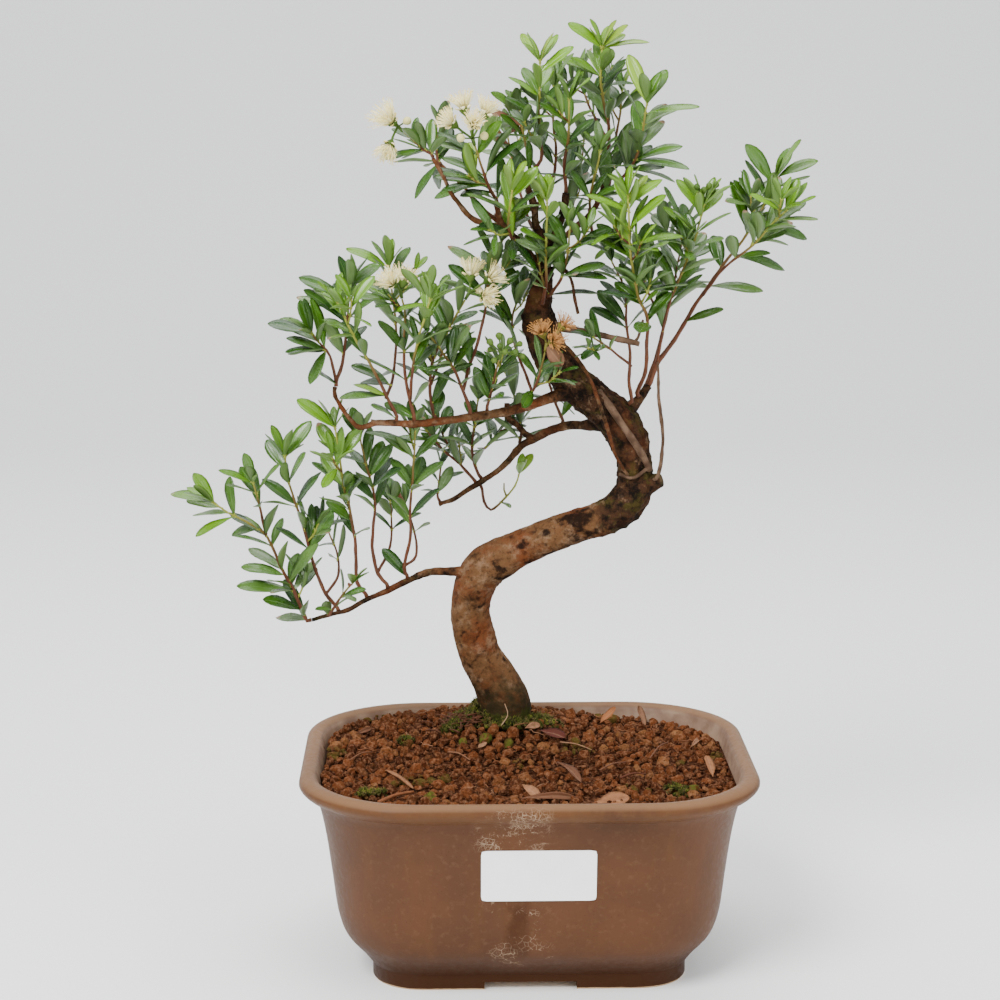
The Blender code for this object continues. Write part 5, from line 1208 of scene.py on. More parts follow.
def glaze_finish():
    """Matt brown glaze with a mottled ochre lip whose upward faces carry a painted highlight, lime marks,
    glaze darkened towards the foot as painted shade, and a bare foot.
    """
    f = Finish("brown_glaze")
    x, y, z = f.axes()
    lip, inner, _ = f.parts("tone")
    large = f.noise(28.0, 4.0)
    fine = f.noise(1.4, 5.0, 0.65)
    streak = f.noise(9.0, 4.0, 0.6, (1, 1, 0.16))
    colour = f.blend(f.span(large, 0.32, 0.7), GLAZE_DARK, GLAZE)
    colour = f.blend(f.span(streak, 0.45, 0.7, 0.0, 0.35), colour, GLAZE_WARM)
    speckle = f.span(f.cells(2.1), 0.1, 0.2, 0.35, 0.0)
    colour = f.blend(speckle, colour, GLAZE_DEEP)
    colour = f.blend(f.span(fine, 0.5, 0.72, 0.0, 0.3), colour, GLAZE_PALE)
    ochre = f.blend(f.span(f.noise(4.0, 5.0, 0.7), 0.38, 0.62), GLAZE_WARM, LIP_OCHRE)
    rim = f.times(lip, f.span(f.noise(5.0, 4.0, 0.65, shift=0.2), 0.25, 0.6))
    colour = f.blend(f.times(rim, 0.5), colour, ochre)
    facing = f.node("ShaderNodeSeparateXYZ")
    f.put(f.node("ShaderNodeNewGeometry").outputs["Normal"], facing.inputs[0])
    # Painted highlight: the lip's faces that look up are lightened, standing in for light from above
    lip_top_highlight = f.times(lip, f.span(facing.outputs[2], 0.3, 0.95, 0.0, 0.55))
    colour = f.blend(lip_top_highlight, colour, LIP_HIGHLIGHT)
    wall = f.blend(f.span(f.noise(6.0, 4.0), 0.3, 0.7), INNER_WALL, INNER_PALE)
    colour = f.blend(inner, colour, wall)
    # Painted shade: the glaze is darkened below 8 mm, fading out by 26 mm from the ground
    low = f.span(z, 0.008, 0.026, 1.0, 0.0)
    colour = f.blend(low, colour, GLAZE_FOOT_SHADE_AND_DAMP)
    front = f.span(y, POT_PLACE.y - 0.05, POT_PLACE.y - 0.06)
    lines = f.math("MAXIMUM", f.cracks(3.0, 2.6), f.times(f.cracks(1.5, 1.2, 0.3), 0.6))
    scratch = f.times(lines, f.span(f.noise(7.0, 6.0, 0.75, (0.7, 1, 1.3), 0.3), 0.42, 0.6))
    marks = f.times(f.span(f.noise(1.6, 6.0, 0.8, (0.6, 1, 1.2), 0.5), 0.7, 0.8), 0.5)
    for middle_x, half_x, middle_z, half_z, cover in STAINS:
        spot = f.times(f.window(x, POT_PLACE.x + middle_x * MM, half_x * MM, 0.012),
                       f.window(z, middle_z * MM, half_z * MM, 0.008))
        lit = f.times(f.times(spot, front), f.span(scratch, cover, cover + 0.5))
        marks = f.math("MAXIMUM", marks, lit)
    colour = f.blend(f.times(marks, 0.6), colour, LIME)
    damp = f.times(f.window(x, POT_PLACE.x + DAMP[0] * MM, DAMP[1] * MM, 0.005),
                   f.window(z, DAMP[2] * MM, DAMP[3] * MM, 0.01))
    damp = f.times(f.times(damp, front), f.span(f.noise(5.0, 5.0, 0.7), 0.35, 0.6, 0.2, 0.7))
    colour = f.blend(damp, colour, GLAZE_FOOT_SHADE_AND_DAMP)
    under = f.times(f.span(facing.outputs[2], -0.8, -0.5, 1.0, 0.0), f.span(z, 0.0048, 0.0055, 1.0, 0.0))
    edge = f.plus(z, f.times(f.noise(5.0, 4.0), 0.0012))
    colour = f.blend(f.math("MAXIMUM", under, f.span(edge, 0.0012, 0.0016, 1.0, 0.0)), colour, CLAY)
    rough = f.plus(f.span(fine, 0.3, 0.7, 0.42, 0.56), f.times(marks, 0.25))
    height = f.plus(f.times(fine, 0.25), f.times(f.noise(7.0, 3.0), 0.6))
    return f.done(colour, rough, f.bump(height, 0.35), Specular_IOR_Level=0.12)


def label_finish():
    f = Finish("white_label")
    colour = f.blend(f.span(f.noise(9.0, 3.0), 0.35, 0.7), LABEL_WHITE, LABEL_SHADE)
    return f.done(colour, 0.38, f.bump(f.noise(2.2, 3.0), 0.04))


def grain_finish():
    """tone: draw, kind, green."""
    f = Finish("soil_grain")
    draw, kind, green = f.parts("tone")
    fine = f.noise(0.9, 5.0, 0.7)
    pits = f.cells(1.5)
    red = f.blend(draw, SOIL_DARK, SOIL_RED)
    colour = f.blend(f.span(kind, 0.8, 1.0), red, SOIL_OCHRE)
    # Painted highlight: the grains are paler where their fine bumps stand highest
    colour = f.blend(f.span(fine, 0.42, 0.7, 0.0, 0.55), colour, SOIL_PALE)
    # Painted shade: the pits, sunk by the bump below, are darkened
    colour = f.blend(f.span(pits, 0.12, 0.35, 0.5, 0.0), colour, SOIL_PIT_SHADE)
    colour = f.blend(f.times(green, f.span(f.noise(1.6, 4.0), 0.3, 0.6)), colour, SOIL_OLIVE)
    ripe = f.times(f.span(green, 0.7, 1.0), f.span(f.noise(1.1, 4.0), 0.4, 0.6))
    colour = f.blend(ripe, colour, PEBBLE_GREEN)
    height = f.plus(f.times(fine, 0.8), f.times(f.span(pits, 0.0, 0.4), 0.5))
    return f.done(colour, 0.95, f.bump(height, 0.7), Specular_IOR_Level=0.03)


def moss_finish():
    """tone: draw, brightness, dryness."""
    f = Finish("moss")
    draw, bright, dry = f.parts("tone")
    colour = f.blend(draw, MOSS_DARK, MOSS_MIDDLE)
    colour = f.blend(bright, colour, MOSS_BRIGHT)
    colour = f.blend(dry, colour, MOSS_DRY)
    colour = f.blend(f.span(f.noise(0.8, 3.0), 0.4, 0.7, 0.0, 0.3), colour, MOSS_DARK)
    return f.done(colour, 0.8, f.bump(f.noise(0.4, 3.0), 0.2), Specular_IOR_Level=0.08)


def dry_finish():
    """tone: draw, redness, paleness. blade: off the rib."""
    f = Finish("dry_leaf")
    draw, red, pale = f.parts("tone")
    off = f.parts("blade")[1]
    fine = f.noise(1.2, 5.0, 0.7)
    colour = f.blend(draw, DRY_DARK, DRY_LIGHT)
    colour = f.blend(red, colour, DRY_RED)
    colour = f.blend(pale, colour, DRY_PALE)
    colour = f.blend(f.span(fine, 0.45, 0.7, 0.0, 0.5), colour, DRY_DARK)
    rib = f.span(off, 0.03, 0.14, 0.25, 0.0)
    colour = f.blend(rib, colour, DRY_PALE)
    height = f.minus(f.times(fine, 0.6), rib)
    return f.done(colour, 0.7, f.bump(height, 0.3), Specular_IOR_Level=0.15)


def petal_finish():
    """tone: draw, age, yellowness. blade: along."""
    f = Finish("cream_stamen")
    draw, age, yellow = f.parts("tone")
    along = f.parts("blade")[0]
    colour = f.blend(draw, CREAM, CREAM_WHITE)
    colour = f.blend(f.span(along, 0.0, 0.35, 0.5, 0.0), colour, CREAM_GREEN)
    colour = f.blend(yellow, colour, POLLEN)
    colour = f.blend(age, colour, f.blend(f.noise(1.4, 4.0), DRY_ORANGE, DRY_LIGHT))
    return f.done(colour, 0.6, f.bump(f.noise(0.5, 3.0), 0.1), Specular_IOR_Level=0.2)


def bud_finish():
    """tone: draw, age, paleness."""
    f = Finish("green_bud")
    draw, age, pale = f.parts("tone")
    colour = f.blend(draw, BUD_GREEN, BUD_FRESH)
    colour = f.blend(pale, colour, CREAM)
    colour = f.blend(age, colour, f.blend(f.noise(1.4, 4.0), DRY_ORANGE, DRY_DARK))
    speck = f.span(f.cells(0.7), 0.12, 0.25, 0.3, 0.0)
    colour = f.blend(speck, colour, BUD_DEEP)
    return f.done(colour, 0.42, f.bump(f.noise(0.6, 3.0), 0.1), Specular_IOR_Level=0.2)


def netting_finish():
    f = Finish("black_netting")
    colour = f.blend(f.noise(2.0, 3.0), NET_BLACK, NET_DUST)
    return f.done(colour, 0.55, f.bump(f.noise(0.8, 3.0), 0.1))


def fine_leaf(heap, leaf, tone, draw, look=0, curl=1.0, twist=0.0):
    """A thin blade with a sunk rib, a rounded outline and a slight wave, where the model's leaf is."""
    fold = leaf.breadth * draw.uniform(0.06, 0.16) * curl
    wave = leaf.breadth * draw.uniform(0.01, 0.04) * curl
    phase = draw.uniform(0, math.tau)
    droop = draw.uniform(-0.01, 0.05) * leaf.length * curl
    tops = []
    unders = []
    top_blade = []
    under_blade = []
    for share, breadth in LEAF_OUTLINE:
        rise = leaf.length * LEAF_ARCH * 4 * share * (1 - share) - droop * max(0.0, share - 0.5) ** 2 * 4
        middle = leaf.base + leaf.along * leaf.length * share + leaf.up * rise
        turn = Matrix.Rotation(twist * share, 3, leaf.along)
        side = turn @ leaf.side
        up = turn @ leaf.up
        half = leaf.breadth / 2 * breadth
        for place in LEAF_ACROSS:
            lift = fold * (abs(place) ** 1.5 - 1.0) * min(1.0, breadth * 1.3)
            lift += wave * math.sin(phase + share * 9.0 + (place > 0) * 1.4) * abs(place) ** 3
            point = middle + side * half * place + up * lift
            tops.append(point)
            top_blade.append((share, abs(place), 0.0))
            if abs(place) < 1.0:
                unders.append(point - up * LEAF_THICK * (1.0 - 0.5 * abs(place)) * (0.4 + 0.6 * breadth))
                under_blade.append((share, abs(place), 1.0))
    wide = len(LEAF_ACROSS)
    inner = wide - 2
    first = len(tops)

    def under(row, column):
        if column in (0, wide - 1):
            return row * wide + column
        return first + row * inner + column - 1

    faces = []
    for row in range(len(LEAF_OUTLINE) - 1):
        for column in range(wide - 1):
            low = row * wide + column
            faces.append((low, low + 1, low + wide + 1, low + wide))
            faces.append((under(row, column), under(row + 1, column), under(row + 1, column + 1),
                          under(row, column + 1)))
    last = len(LEAF_OUTLINE) - 1
    for row, turned in ((0, True), (last, False)):
        ring = [row * wide + column for column in range(wide)]
        ring += [under(row, column) for column in range(wide - 2, 0, -1)]
        faces.append(ring if turned else ring[::-1])
    heap.add(tops + unders, faces, tone, look, top_blade + under_blade)


def fine_tube(heap, path, radii, sides, tone, look=0):
    """A round tube; tone may be a function of the share along it."""
    verts, faces = tube(path, radii, sides)
    last = len(path) - 1
    shares = [ring / last for ring in range(len(path)) for _ in range(sides)]
    tones = [tone(share) for share in shares] if callable(tone) else tone
    heap.add(verts, faces, tones, look, [(share, 1.0, 0.0) for share in shares])


def path_length(path):
    return sum((end - start).length for start, end in zip(path, path[1:]))


def point_on(path, share):
    """The point at this share of the path, and the way that the path runs there."""
    spot = min(max(share, 0.0), 1.0) * (len(path) - 1)
    index = min(int(spot), len(path) - 2)
    return path[index].lerp(path[index + 1], spot - index), (path[index + 1] - path[index]).normalized()


def nearest_share(path, point):
    """How far along the path the nearest place to the point is."""
    best = (1e9, 0.0)
    for index, (start, end) in enumerate(zip(path, path[1:])):
        run = end - start
        t = min(1.0, max(0.0, (point - start).dot(run) / run.length_squared))
        away = (start + run * t - point).length
        best = min(best, (away, (index + t) / (len(path) - 1)))
    return best


def within_model(leaf):
    """Whether the leaf stays inside the model's box."""
    tip = POT_PLACE + (leaf.base + leaf.along * leaf.length) * MM
    return all(CAD_LOW[axis] + MM < tip[axis] < CAD_HIGH[axis] - MM for axis in range(3))


def try_leaf(growth, name, leaf, others, mine):
    """Adds the leaf if it stays in the model's box and clear of all that stands already."""
    across, down = shown(leaf.base + leaf.along * leaf.length * 0.6)
    if not within_model(leaf) or any(math.hypot(across - x, down - y) < reach for x, y, reach in LEAFLESS):
        return False
    shape = Solid(*leaf_shell(leaf, FINE_CLEAR))
    inner = Solid(*leaf_shell(leaf, *FINE_CLOSE))
    if shape.meets(others) or inner.meets(mine):
        return False
    growth.solids[name].append(shape)
    mine.append(inner)
    return True


def leaf_row(growth, name, path, bare, size, young, draw, others, mine):
    """Pairs of leaves along a stem or twig, smaller and steeper towards its tip."""
    found = []
    pairs = max(2, round(path_length(path) * (1 - bare) / NODE_SPACING))
    turn = draw.uniform(0, math.tau)
    for pair in range(pairs + 1):
        share = bare + (1 - bare) * (pair + 0.25) / (pairs + 0.25)
        foot, ahead = point_on(path, share)
        across = ahead.orthogonal().normalized()
        near_tip = ease(share, 0.75, 1.0)
        turn += math.pi / 2 + draw.uniform(-0.25, 0.25)
        for half in (0, math.pi):
            length = size * draw.uniform(0.8, 1.2) * (1 - 0.3 * near_tip)
            broad = length * LEAF_BREADTH * draw.uniform(0.62, 1.0)
            for shift, lean in FINE_TRIES:
                out = Matrix.Rotation(turn + half + shift, 3, ahead) @ across
                angle = draw.uniform(0.7, 1.2) - 0.4 * near_tip + lean
                along = ahead * math.cos(angle) + out * math.sin(angle) + Vector((0, 0, 0.08))
                lift = Vector((draw.uniform(-0.7, 0.7), draw.uniform(-0.6, 0.4), 0.9)) + ahead * 0.3
                leaf = blade(foot - along.normalized() * 0.3, along, length, broad, young, lift)
                if try_leaf(growth, name, leaf, others, mine):
                    found.append(leaf)
                    break
    return found


def more_leaves(growth):
    """The rest of the leaves, fitted between those that the model has, and short twigs that carry some."""
    draw = random.Random(SEED + 5)
    added = {name: [] for name in SPRAYS}
    twigs = {name: [] for name in SPRAYS}
    for name in SPRAYS:
        others = growth.others(name)
        mine = [Solid(*leaf_shell(leaf, *FINE_CLOSE)) for leaf in growth.leaves[name]]
        for row, path in growth.stems[name]:
            large = row.leaf * (1.0 if name.startswith("lower") else 1.12)
            added[name] += leaf_row(growth, name, path, row.bare, large, row.young, draw, others, mine)
            leafy = path_length(path) * (1 - row.bare) * TWIG_SHARE[name.split("_spray")[0]]
            for _ in range(round(leafy / TWIG_SPACING)):
                share = row.bare + (1 - row.bare) * draw.uniform(0.05, 0.85)
                foot, ahead = point_on(path, share)
                out = Matrix.Rotation(draw.uniform(0, math.tau), 3, ahead) @ ahead.orthogonal().normalized()
                way = (ahead * 0.8 + out + Vector((0, 0, 0.25))).normalized()
                reach = draw.uniform(*TWIG_LENGTH)
                rise = foot + way * reach * 0.5 + out * 0.8
                side = smooth([foot, rise, foot + way * reach + Vector((0, 0, reach * 0.12))], 4.0)
                shape = Solid(*tube(side[1:], [TWIG_THICK / 2] * (len(side) - 1), 4))
                ball = blade(foot, way, reach + 4, 2.0, 0, Vector((0, 0, 1)))
                if not within_model(ball) or shape.meets(others):
                    continue
                growth.solids[name].append(shape)
                twigs[name].append(side)
                size = large * draw.uniform(0.75, 1.0)
                added[name] += leaf_row(growth, name, side, 0.35, size, row.young, draw, others, mine)
    return added, twigs


def near_any(place, spots, reach):
    return any(math.hypot(place[0] - across, place[1] - down) < reach for across, down in spots)


def leaf_tone(leaf, rows, draw):
    """Draw, youth and withering of a leaf, from where it sits on its stem."""
    _, share, young = min((*nearest_share(path, leaf.base), row.young) for row, path in rows)
    youth = young * (0.15 + 0.85 * ease(share, 0.5, 1.0)) + draw.uniform(-0.14, 0.14)
    place = shown(leaf.base + leaf.along * leaf.length * 0.5)
    dry = 1.0 if near_any(place, WITHERED, 5.5) else 0.0
    if place[1] > YOUNGEST_ABOVE:
        youth = min(youth, YOUTH_LEFT if place[0] < OLDER_LEFT_OF else YOUTH_RIGHT)
    if near_any(place, FRESH, 7.0):
        youth = draw.uniform(0.72, 0.85)
    shade = draw.random()
    if place[0] > PALER_FROM:
        shade = PALER + (1 - PALER) * shade
    return shade, min(1.0, max(0.0, youth)), dry


def dress_spray(name, growth, added, twigs, looks):
    """Stems and leaves of a spray, in the place of its node."""
    heap = Heap()
    draw = random.Random(SEED + len(name) * 31 + sum(map(ord, name)))
    rows = growth.stems[name]
    for row, path in rows:
        fine = smooth(path, FINE_STEP)
        count = len(fine)
        slim = taper(row.thick / 2, FINE_END, count)
        swells = [1.0 + NODE_SWELL * (index % NODE_EVERY == 0) for index in range(count)]
        radii = [radius * swell for radius, swell in zip(slim, swells)]
        bend = draw.uniform(0, 9)
        for index in range(1, count - 1):
            sway = noise.noise_vector(fine[index] * 0.12 + Vector((bend, 0, 0)))
            fine[index] = fine[index] + sway * SWAY
        shade = draw.random()
        youth = row.young
        fine_tube(heap, fine, radii, 7, lambda share: (shade, 0.2 + share * (0.35 + 0.55 * youth), 0.0), 1)
    for side in twigs[name]:
        youth = draw.uniform(0.45, 0.95)
        fine_tube(heap, side, taper(TWIG_THICK / 2, 0.36, len(side)), 6, (draw.random(), youth, 0.0), 1)
    for leaf in growth.leaves[name] + added[name]:
        tone = leaf_tone(leaf, rows, draw)
        foot = leaf.base + leaf.along * 0.4
        petiole = [foot - leaf.along * 0.9, foot + leaf.along * 1.4]
        fine_tube(heap, petiole, [0.42, 0.34], 5, (0.5, 0.85, tone[2]), 1)
        if tone[2] > 0.5:
            leaf = leaf._replace(breadth=leaf.breadth * 0.7)
        fine_leaf(heap, leaf, tone, draw, 0, 1.0 + 2.2 * tone[2], draw.uniform(-0.35, 0.35))
    if name == BUD_SPRAY:
        tip = rows[-1][1][-1]
        for place in LOOSE_BUDS:
            dress_bud(heap, tip, seen(*place), 1.5, 0.0, draw, 2)
    heap.piece("foliage_" + name, [looks["leaf"], looks["stem"], looks["bud"]], "leaf", (name,))


def stamen(heap, foot, way, out, length, tone, draw):
    """A fine thread that curves outwards and ends in its anther."""
    bend = out * length * draw.uniform(0.0, 0.14)
    path = [foot, foot + way * length * 0.5 + bend * 0.25, foot + way * length + bend]
    wide = 1.0 - 0.3 * tone[1]
    fine_tube(heap, path, [0.17 * wide, 0.16 * wide, 0.12 * wide], 3, tone)
    tip = path[-1]
    side = way.orthogonal().normalized() * 0.3
    other = way.cross(side).normalized() * 0.3
    verts = [tip - way * 0.3, tip + side, tip + other, tip - side, tip - other, tip + way * 0.4]
    faces = [(0, 2, 1), (0, 3, 2), (0, 4, 3), (0, 1, 4), (5, 1, 2), (5, 2, 3), (5, 3, 4), (5, 4, 1)]
    heap.add(verts, faces, (tone[0], tone[1], 0.6), 0, (1.0, 0.0, 0.0))


def lathe(heap, foot, way, profile, sides, tone, look):
    """A round body along way, from (distance, radius) rows."""
    path = [foot + way * away for away, _ in profile]
    fine_tube(heap, path, [radius for _, radius in profile], sides, tone, look)


def dress_bloom(heap, start, heart, size, age, draw):
    """Stalk, green cup, small petals and a brush of stamens."""
    way = (heart - start).normalized()
    side = way.orthogonal().normalized()
    cup = heart - way * size * 0.35
    stalk = smooth([start, start.lerp(cup, 0.5) + side * 0.3, cup - way * 2.6], 1.5)
    fine_tube(heap, stalk, taper(0.5, 0.62, len(stalk)), 7, (draw.random(), age * 0.3, 0.0), 1)
    lathe(heap, cup - way * 3.4, way, CUP_PROFILE, 14, (draw.random(), age * 0.3, 0.0), 1)
    for petal in range(PETALS):
        out = Matrix.Rotation(math.tau * petal / PETALS + draw.uniform(-0.2, 0.2), 3, way) @ side
        leaf = blade(cup + out * 1.7 - way * 0.2, way * 0.6 + out, 3.0, 2.6, 0, way)
        fine_leaf(heap, leaf, (draw.random(), age, 0.15), draw, 0, 1.5)
    for thread in range(FRESH_THREADS if age < 0.5 else DRY_THREADS):
        spread = math.acos(1 - draw.random() * 0.22)
        out = Matrix.Rotation(thread * GOLDEN_TURN + draw.uniform(-0.3, 0.3), 3, way) @ side
        if age > 0.5:
            spread = draw.uniform(0.1, 0.95)
        ray = (way * math.cos(spread) + out * math.sin(spread)).normalized()
        reach = size * draw.uniform(0.8, 1.35) * (1.0 if age < 0.5 else 0.7)
        stamen(heap, cup + out * 1.9 * min(1.0, spread), ray, out, reach, (draw.random(), age, 0.0), draw)


def dress_bud(heap, start, heart, size, age, draw, look=1, pale=0.0, stalk=0.4):
    way = (heart - start).normalized()
    path = [start, start.lerp(heart, 0.5), heart - way * size * 0.5]
    fine_tube(heap, path, [stalk, stalk * 0.9, stalk], 7, (draw.random(), age, 0.0), look)
    rows = [(away * size, radius * size) for away, radius in BUD_PROFILE]
    lathe(heap, heart, way, rows, 12, (draw.random(), age, pale), look)


def dress_cluster(name, growth, looks):
    heap = Heap()
    draw = random.Random(SEED + sum(map(ord, name)))
    foot, fork, parts = growth.clusters[name]
    age = 0.92 if name.startswith("dry") else 0.0
    green = name.startswith("buds")
    shrink, pale = (0.85, 0.0) if green else (1.0, 0.6)
    stalk = [foot, foot.lerp(fork, 0.5), fork + (fork - foot) * 0.3]
    fine_tube(heap, stalk, [0.75, 0.85, 1.05], 8, (0.5, age * 0.3, 0.0), 1)
    for kind, start, heart, size in parts:
        if kind == "bud":
            dress_bud(heap, start, heart, size * shrink, age, draw, 1, pale)
        else:
            dress_bloom(heap, start, heart, size, age, draw)
    hearts = [part[2] for part in parts]
    while green and len(hearts) < len(parts) + MORE_BUDS:
        beside = Vector((draw.gauss(0, 4.5), draw.gauss(0, 4.5), draw.gauss(0, 3.5)))
        heart = draw.choice(hearts) + beside
        if min((heart - other).length for other in hearts) > BUD_ROOM and (heart - fork).length < BUD_REACH:
            dress_bud(heap, fork, heart, draw.uniform(1.2, 1.6), age, draw, 1, 0.0, 0.3)
            hearts.append(heart)
    if age:
        hang = seen(*HANGING) - fork
        leaf = blade(fork, hang, hang.length, 7.5, 0, Vector((0.2, -1, 0)))
        fine_leaf(heap, leaf, (0.25, 0.0, 0.25), draw, 2, 2.0, 0.4)
    slot = "dry_plant" if age else "bud" if green else "flower"
    heap.piece("blossom_" + name, [looks["petal"], looks["bud"], looks["dry"]], slot, (name,))


def grain_spot(point, ahead):
    """The point with its place along the wood drawn together, so that what varies there runs lengthways."""
    return point - ahead * ahead.dot(point) * 0.72


def rough_skin(point, ahead, age):
    """How far the bark stands in or out here, in mm."""
    spread = grain_spot(point, ahead)
    body = 0.55 * noise.noise(point / 8.5) + 0.35 * noise.noise(spread / 3.4 + Vector((9, 2, 5)))
    crack = abs(noise.noise(spread / 2.6 + Vector((3, 7, 1))))
    lumps = max(0.0, noise.noise(point / 2.4)) + 0.6 * max(0.0, noise.noise(point / 1.3))
    return body * (0.8 + 1.1 * age) - (0.35 + 0.75 * age) * (1 - crack) ** 5 + 0.75 * age * lumps


def dress_wood(looks):
    """Trunk, limbs and stubs in one fine skin."""
    heap = Heap()
    path, radii = trunk_path(BARK_STEP)
    run = [0.0]
    for start, end in zip(path, path[1:]):
        run.append(run[-1] + (end - start).length)
    verts, faces = tube(path, radii, BARK_SIDES)
    tones = []
    skin = []
    for index, vert in enumerate(verts):
        ring = index // BARK_SIDES
        angle = math.tau * (index % BARK_SIDES) / BARK_SIDES
        centre = path[ring]
        out = (vert - centre).normalized()
        ahead = (path[min(ring + 1, len(path) - 1)] - path[max(ring - 1, 0)]).normalized()
        age = ease(run[ring], DARK_FROM, DARK_FROM + DARK_OVER)
        steps = run[ring] / TRUNK_STEP
        waves = sum(share * math.sin(count * angle + steps * turn) for share, count, turn in TRUNK_WAVES)
        push = radii[ring] * waves + rough_skin(vert, ahead, age)
        for place_x, place_y, depth, wide, high in KNOTS:
            away = (vert - seen(place_x, place_y, depth)).length
            push += high * math.exp(-(away / wide) ** 2)
        skin.append(vert + out * push)
        if centre.z < MOSSY_BELOW:
            moss = 0.75 * ease(centre.z, 121.0, 107.0) + 0.2 * noise.noise(vert / 6.0)
        else:
            upward = ease(out.z, -0.1, 0.8)
            moss = age * (0.12 + 0.5 * upward) * (0.5 + 0.8 * noise.noise(vert / 14.0))
        streak = 0.42 + 0.6 * noise.noise(grain_spot(vert, ahead) / 3.0 + Vector((5, 1, 8)))
        for place_x, place_y, depth, wide in SPOTS:
            away = (vert - seen(place_x, place_y, depth)).length + 1.6 * noise.noise(vert / 1.7)
            streak += 0.6 * math.exp(-(away / wide) ** 2)
        # Painted shade: the faces of the trunk that look down are darkened
        streak += 0.22 * ease(out.z, 0.0, -0.9)
        tones.append((min(1.0, max(0.0, streak)), age, max(0.0, moss)))
    heap.add(skin, faces, tones)
    for name, (start, end, places) in LIMBS.items():
        points = smooth([seen(*place) for place in places], 2.2)
        radii = []
        for point, radius in zip(points, taper(start / 2, end / 2, len(points))):
            node = 0.1 * (noise.noise(point / 2.0) > 0.35)
            radii.append(radius * (1.0 + 0.1 * noise.noise(point / 6.0) + node))
        _, share = nearest_share(path, points[0])
        host = ease(share * run[-1], DARK_FROM, DARK_FROM + DARK_OVER)
        collar = 1 if start > COLLAR_FROM else 0
        joins = [math.exp(-((point - points[0]).length / COLLAR) ** 2) * collar for point in points]
        radii = [radius * (1.0 + 0.6 * join) for radius, join in zip(radii, joins)]
        verts, faces = tube(points, radii, LIMB_ROUND)
        skin = []
        tones = []
        for index, vert in enumerate(verts):
            out = (vert - points[index // LIMB_ROUND]).normalized()
            skin.append(vert + out * (0.22 * noise.noise(vert / 2.0) + 0.3 * noise.noise(vert / 5.0)))
            age = LIMB_AGE.get(name, 0.35)
            age += (host - age) * joins[index // LIMB_ROUND]
            streak = 0.45 + 0.6 * noise.noise(vert / 4.0)
            tones.append((streak, age, 0.25 * age * max(0.0, noise.noise(vert / 9.0))))
        heap.add(skin, faces, tones, 1 if name in DEAD else 0)
    heap.piece("bark_skin", [looks["bark"], looks["wood"]], "bark", ("trunk_and_branches",))


def fine_outline(inset, corner, height, steps):
    points = []
    for quarter in range(4):
        side_x = 1 if quarter in (0, 3) else -1
        side_y = 1 if quarter in (0, 1) else -1
        for step in range(steps + 1):
            angle = math.pi / 2 * (quarter + step / steps)
            points.append(Vector((
                side_x * (POT_LENGTH / 2 - inset - corner) + corner * math.cos(angle),
                side_y * (POT_WIDTH / 2 - inset - corner) + corner * math.sin(angle),
                height,
            )))
    return points


def rounded_rows(rows, sharp, steps):
    """More sections on the smooth curve through the rows; those before sharp stay as they are."""
    points = [Vector(row) for row in rows]
    curve = points[:sharp + 1]
    bend = points[sharp:]
    ends = [bend[0]] + bend + [bend[-1]]
    for before, start, end, after in zip(ends, ends[1:], ends[2:], ends[3:]):
        for step in range(1, steps + 1):
            spot = between(before, start, end, after, step / steps)
            spot.x = max(spot.x, 0.0)
            curve.append(spot)
    return curve


def rings_faces(rings, count):
    faces = []
    for ring in range(rings - 1):
        for corner in range(count):
            low = ring * count
            turn = (corner + 1) % count
            faces.append((low + corner, low + turn, low + count + turn, low + count + corner))
    faces.append(tuple(range(count)))
    faces.append(tuple(range((rings - 1) * count, rings * count)))
    return faces


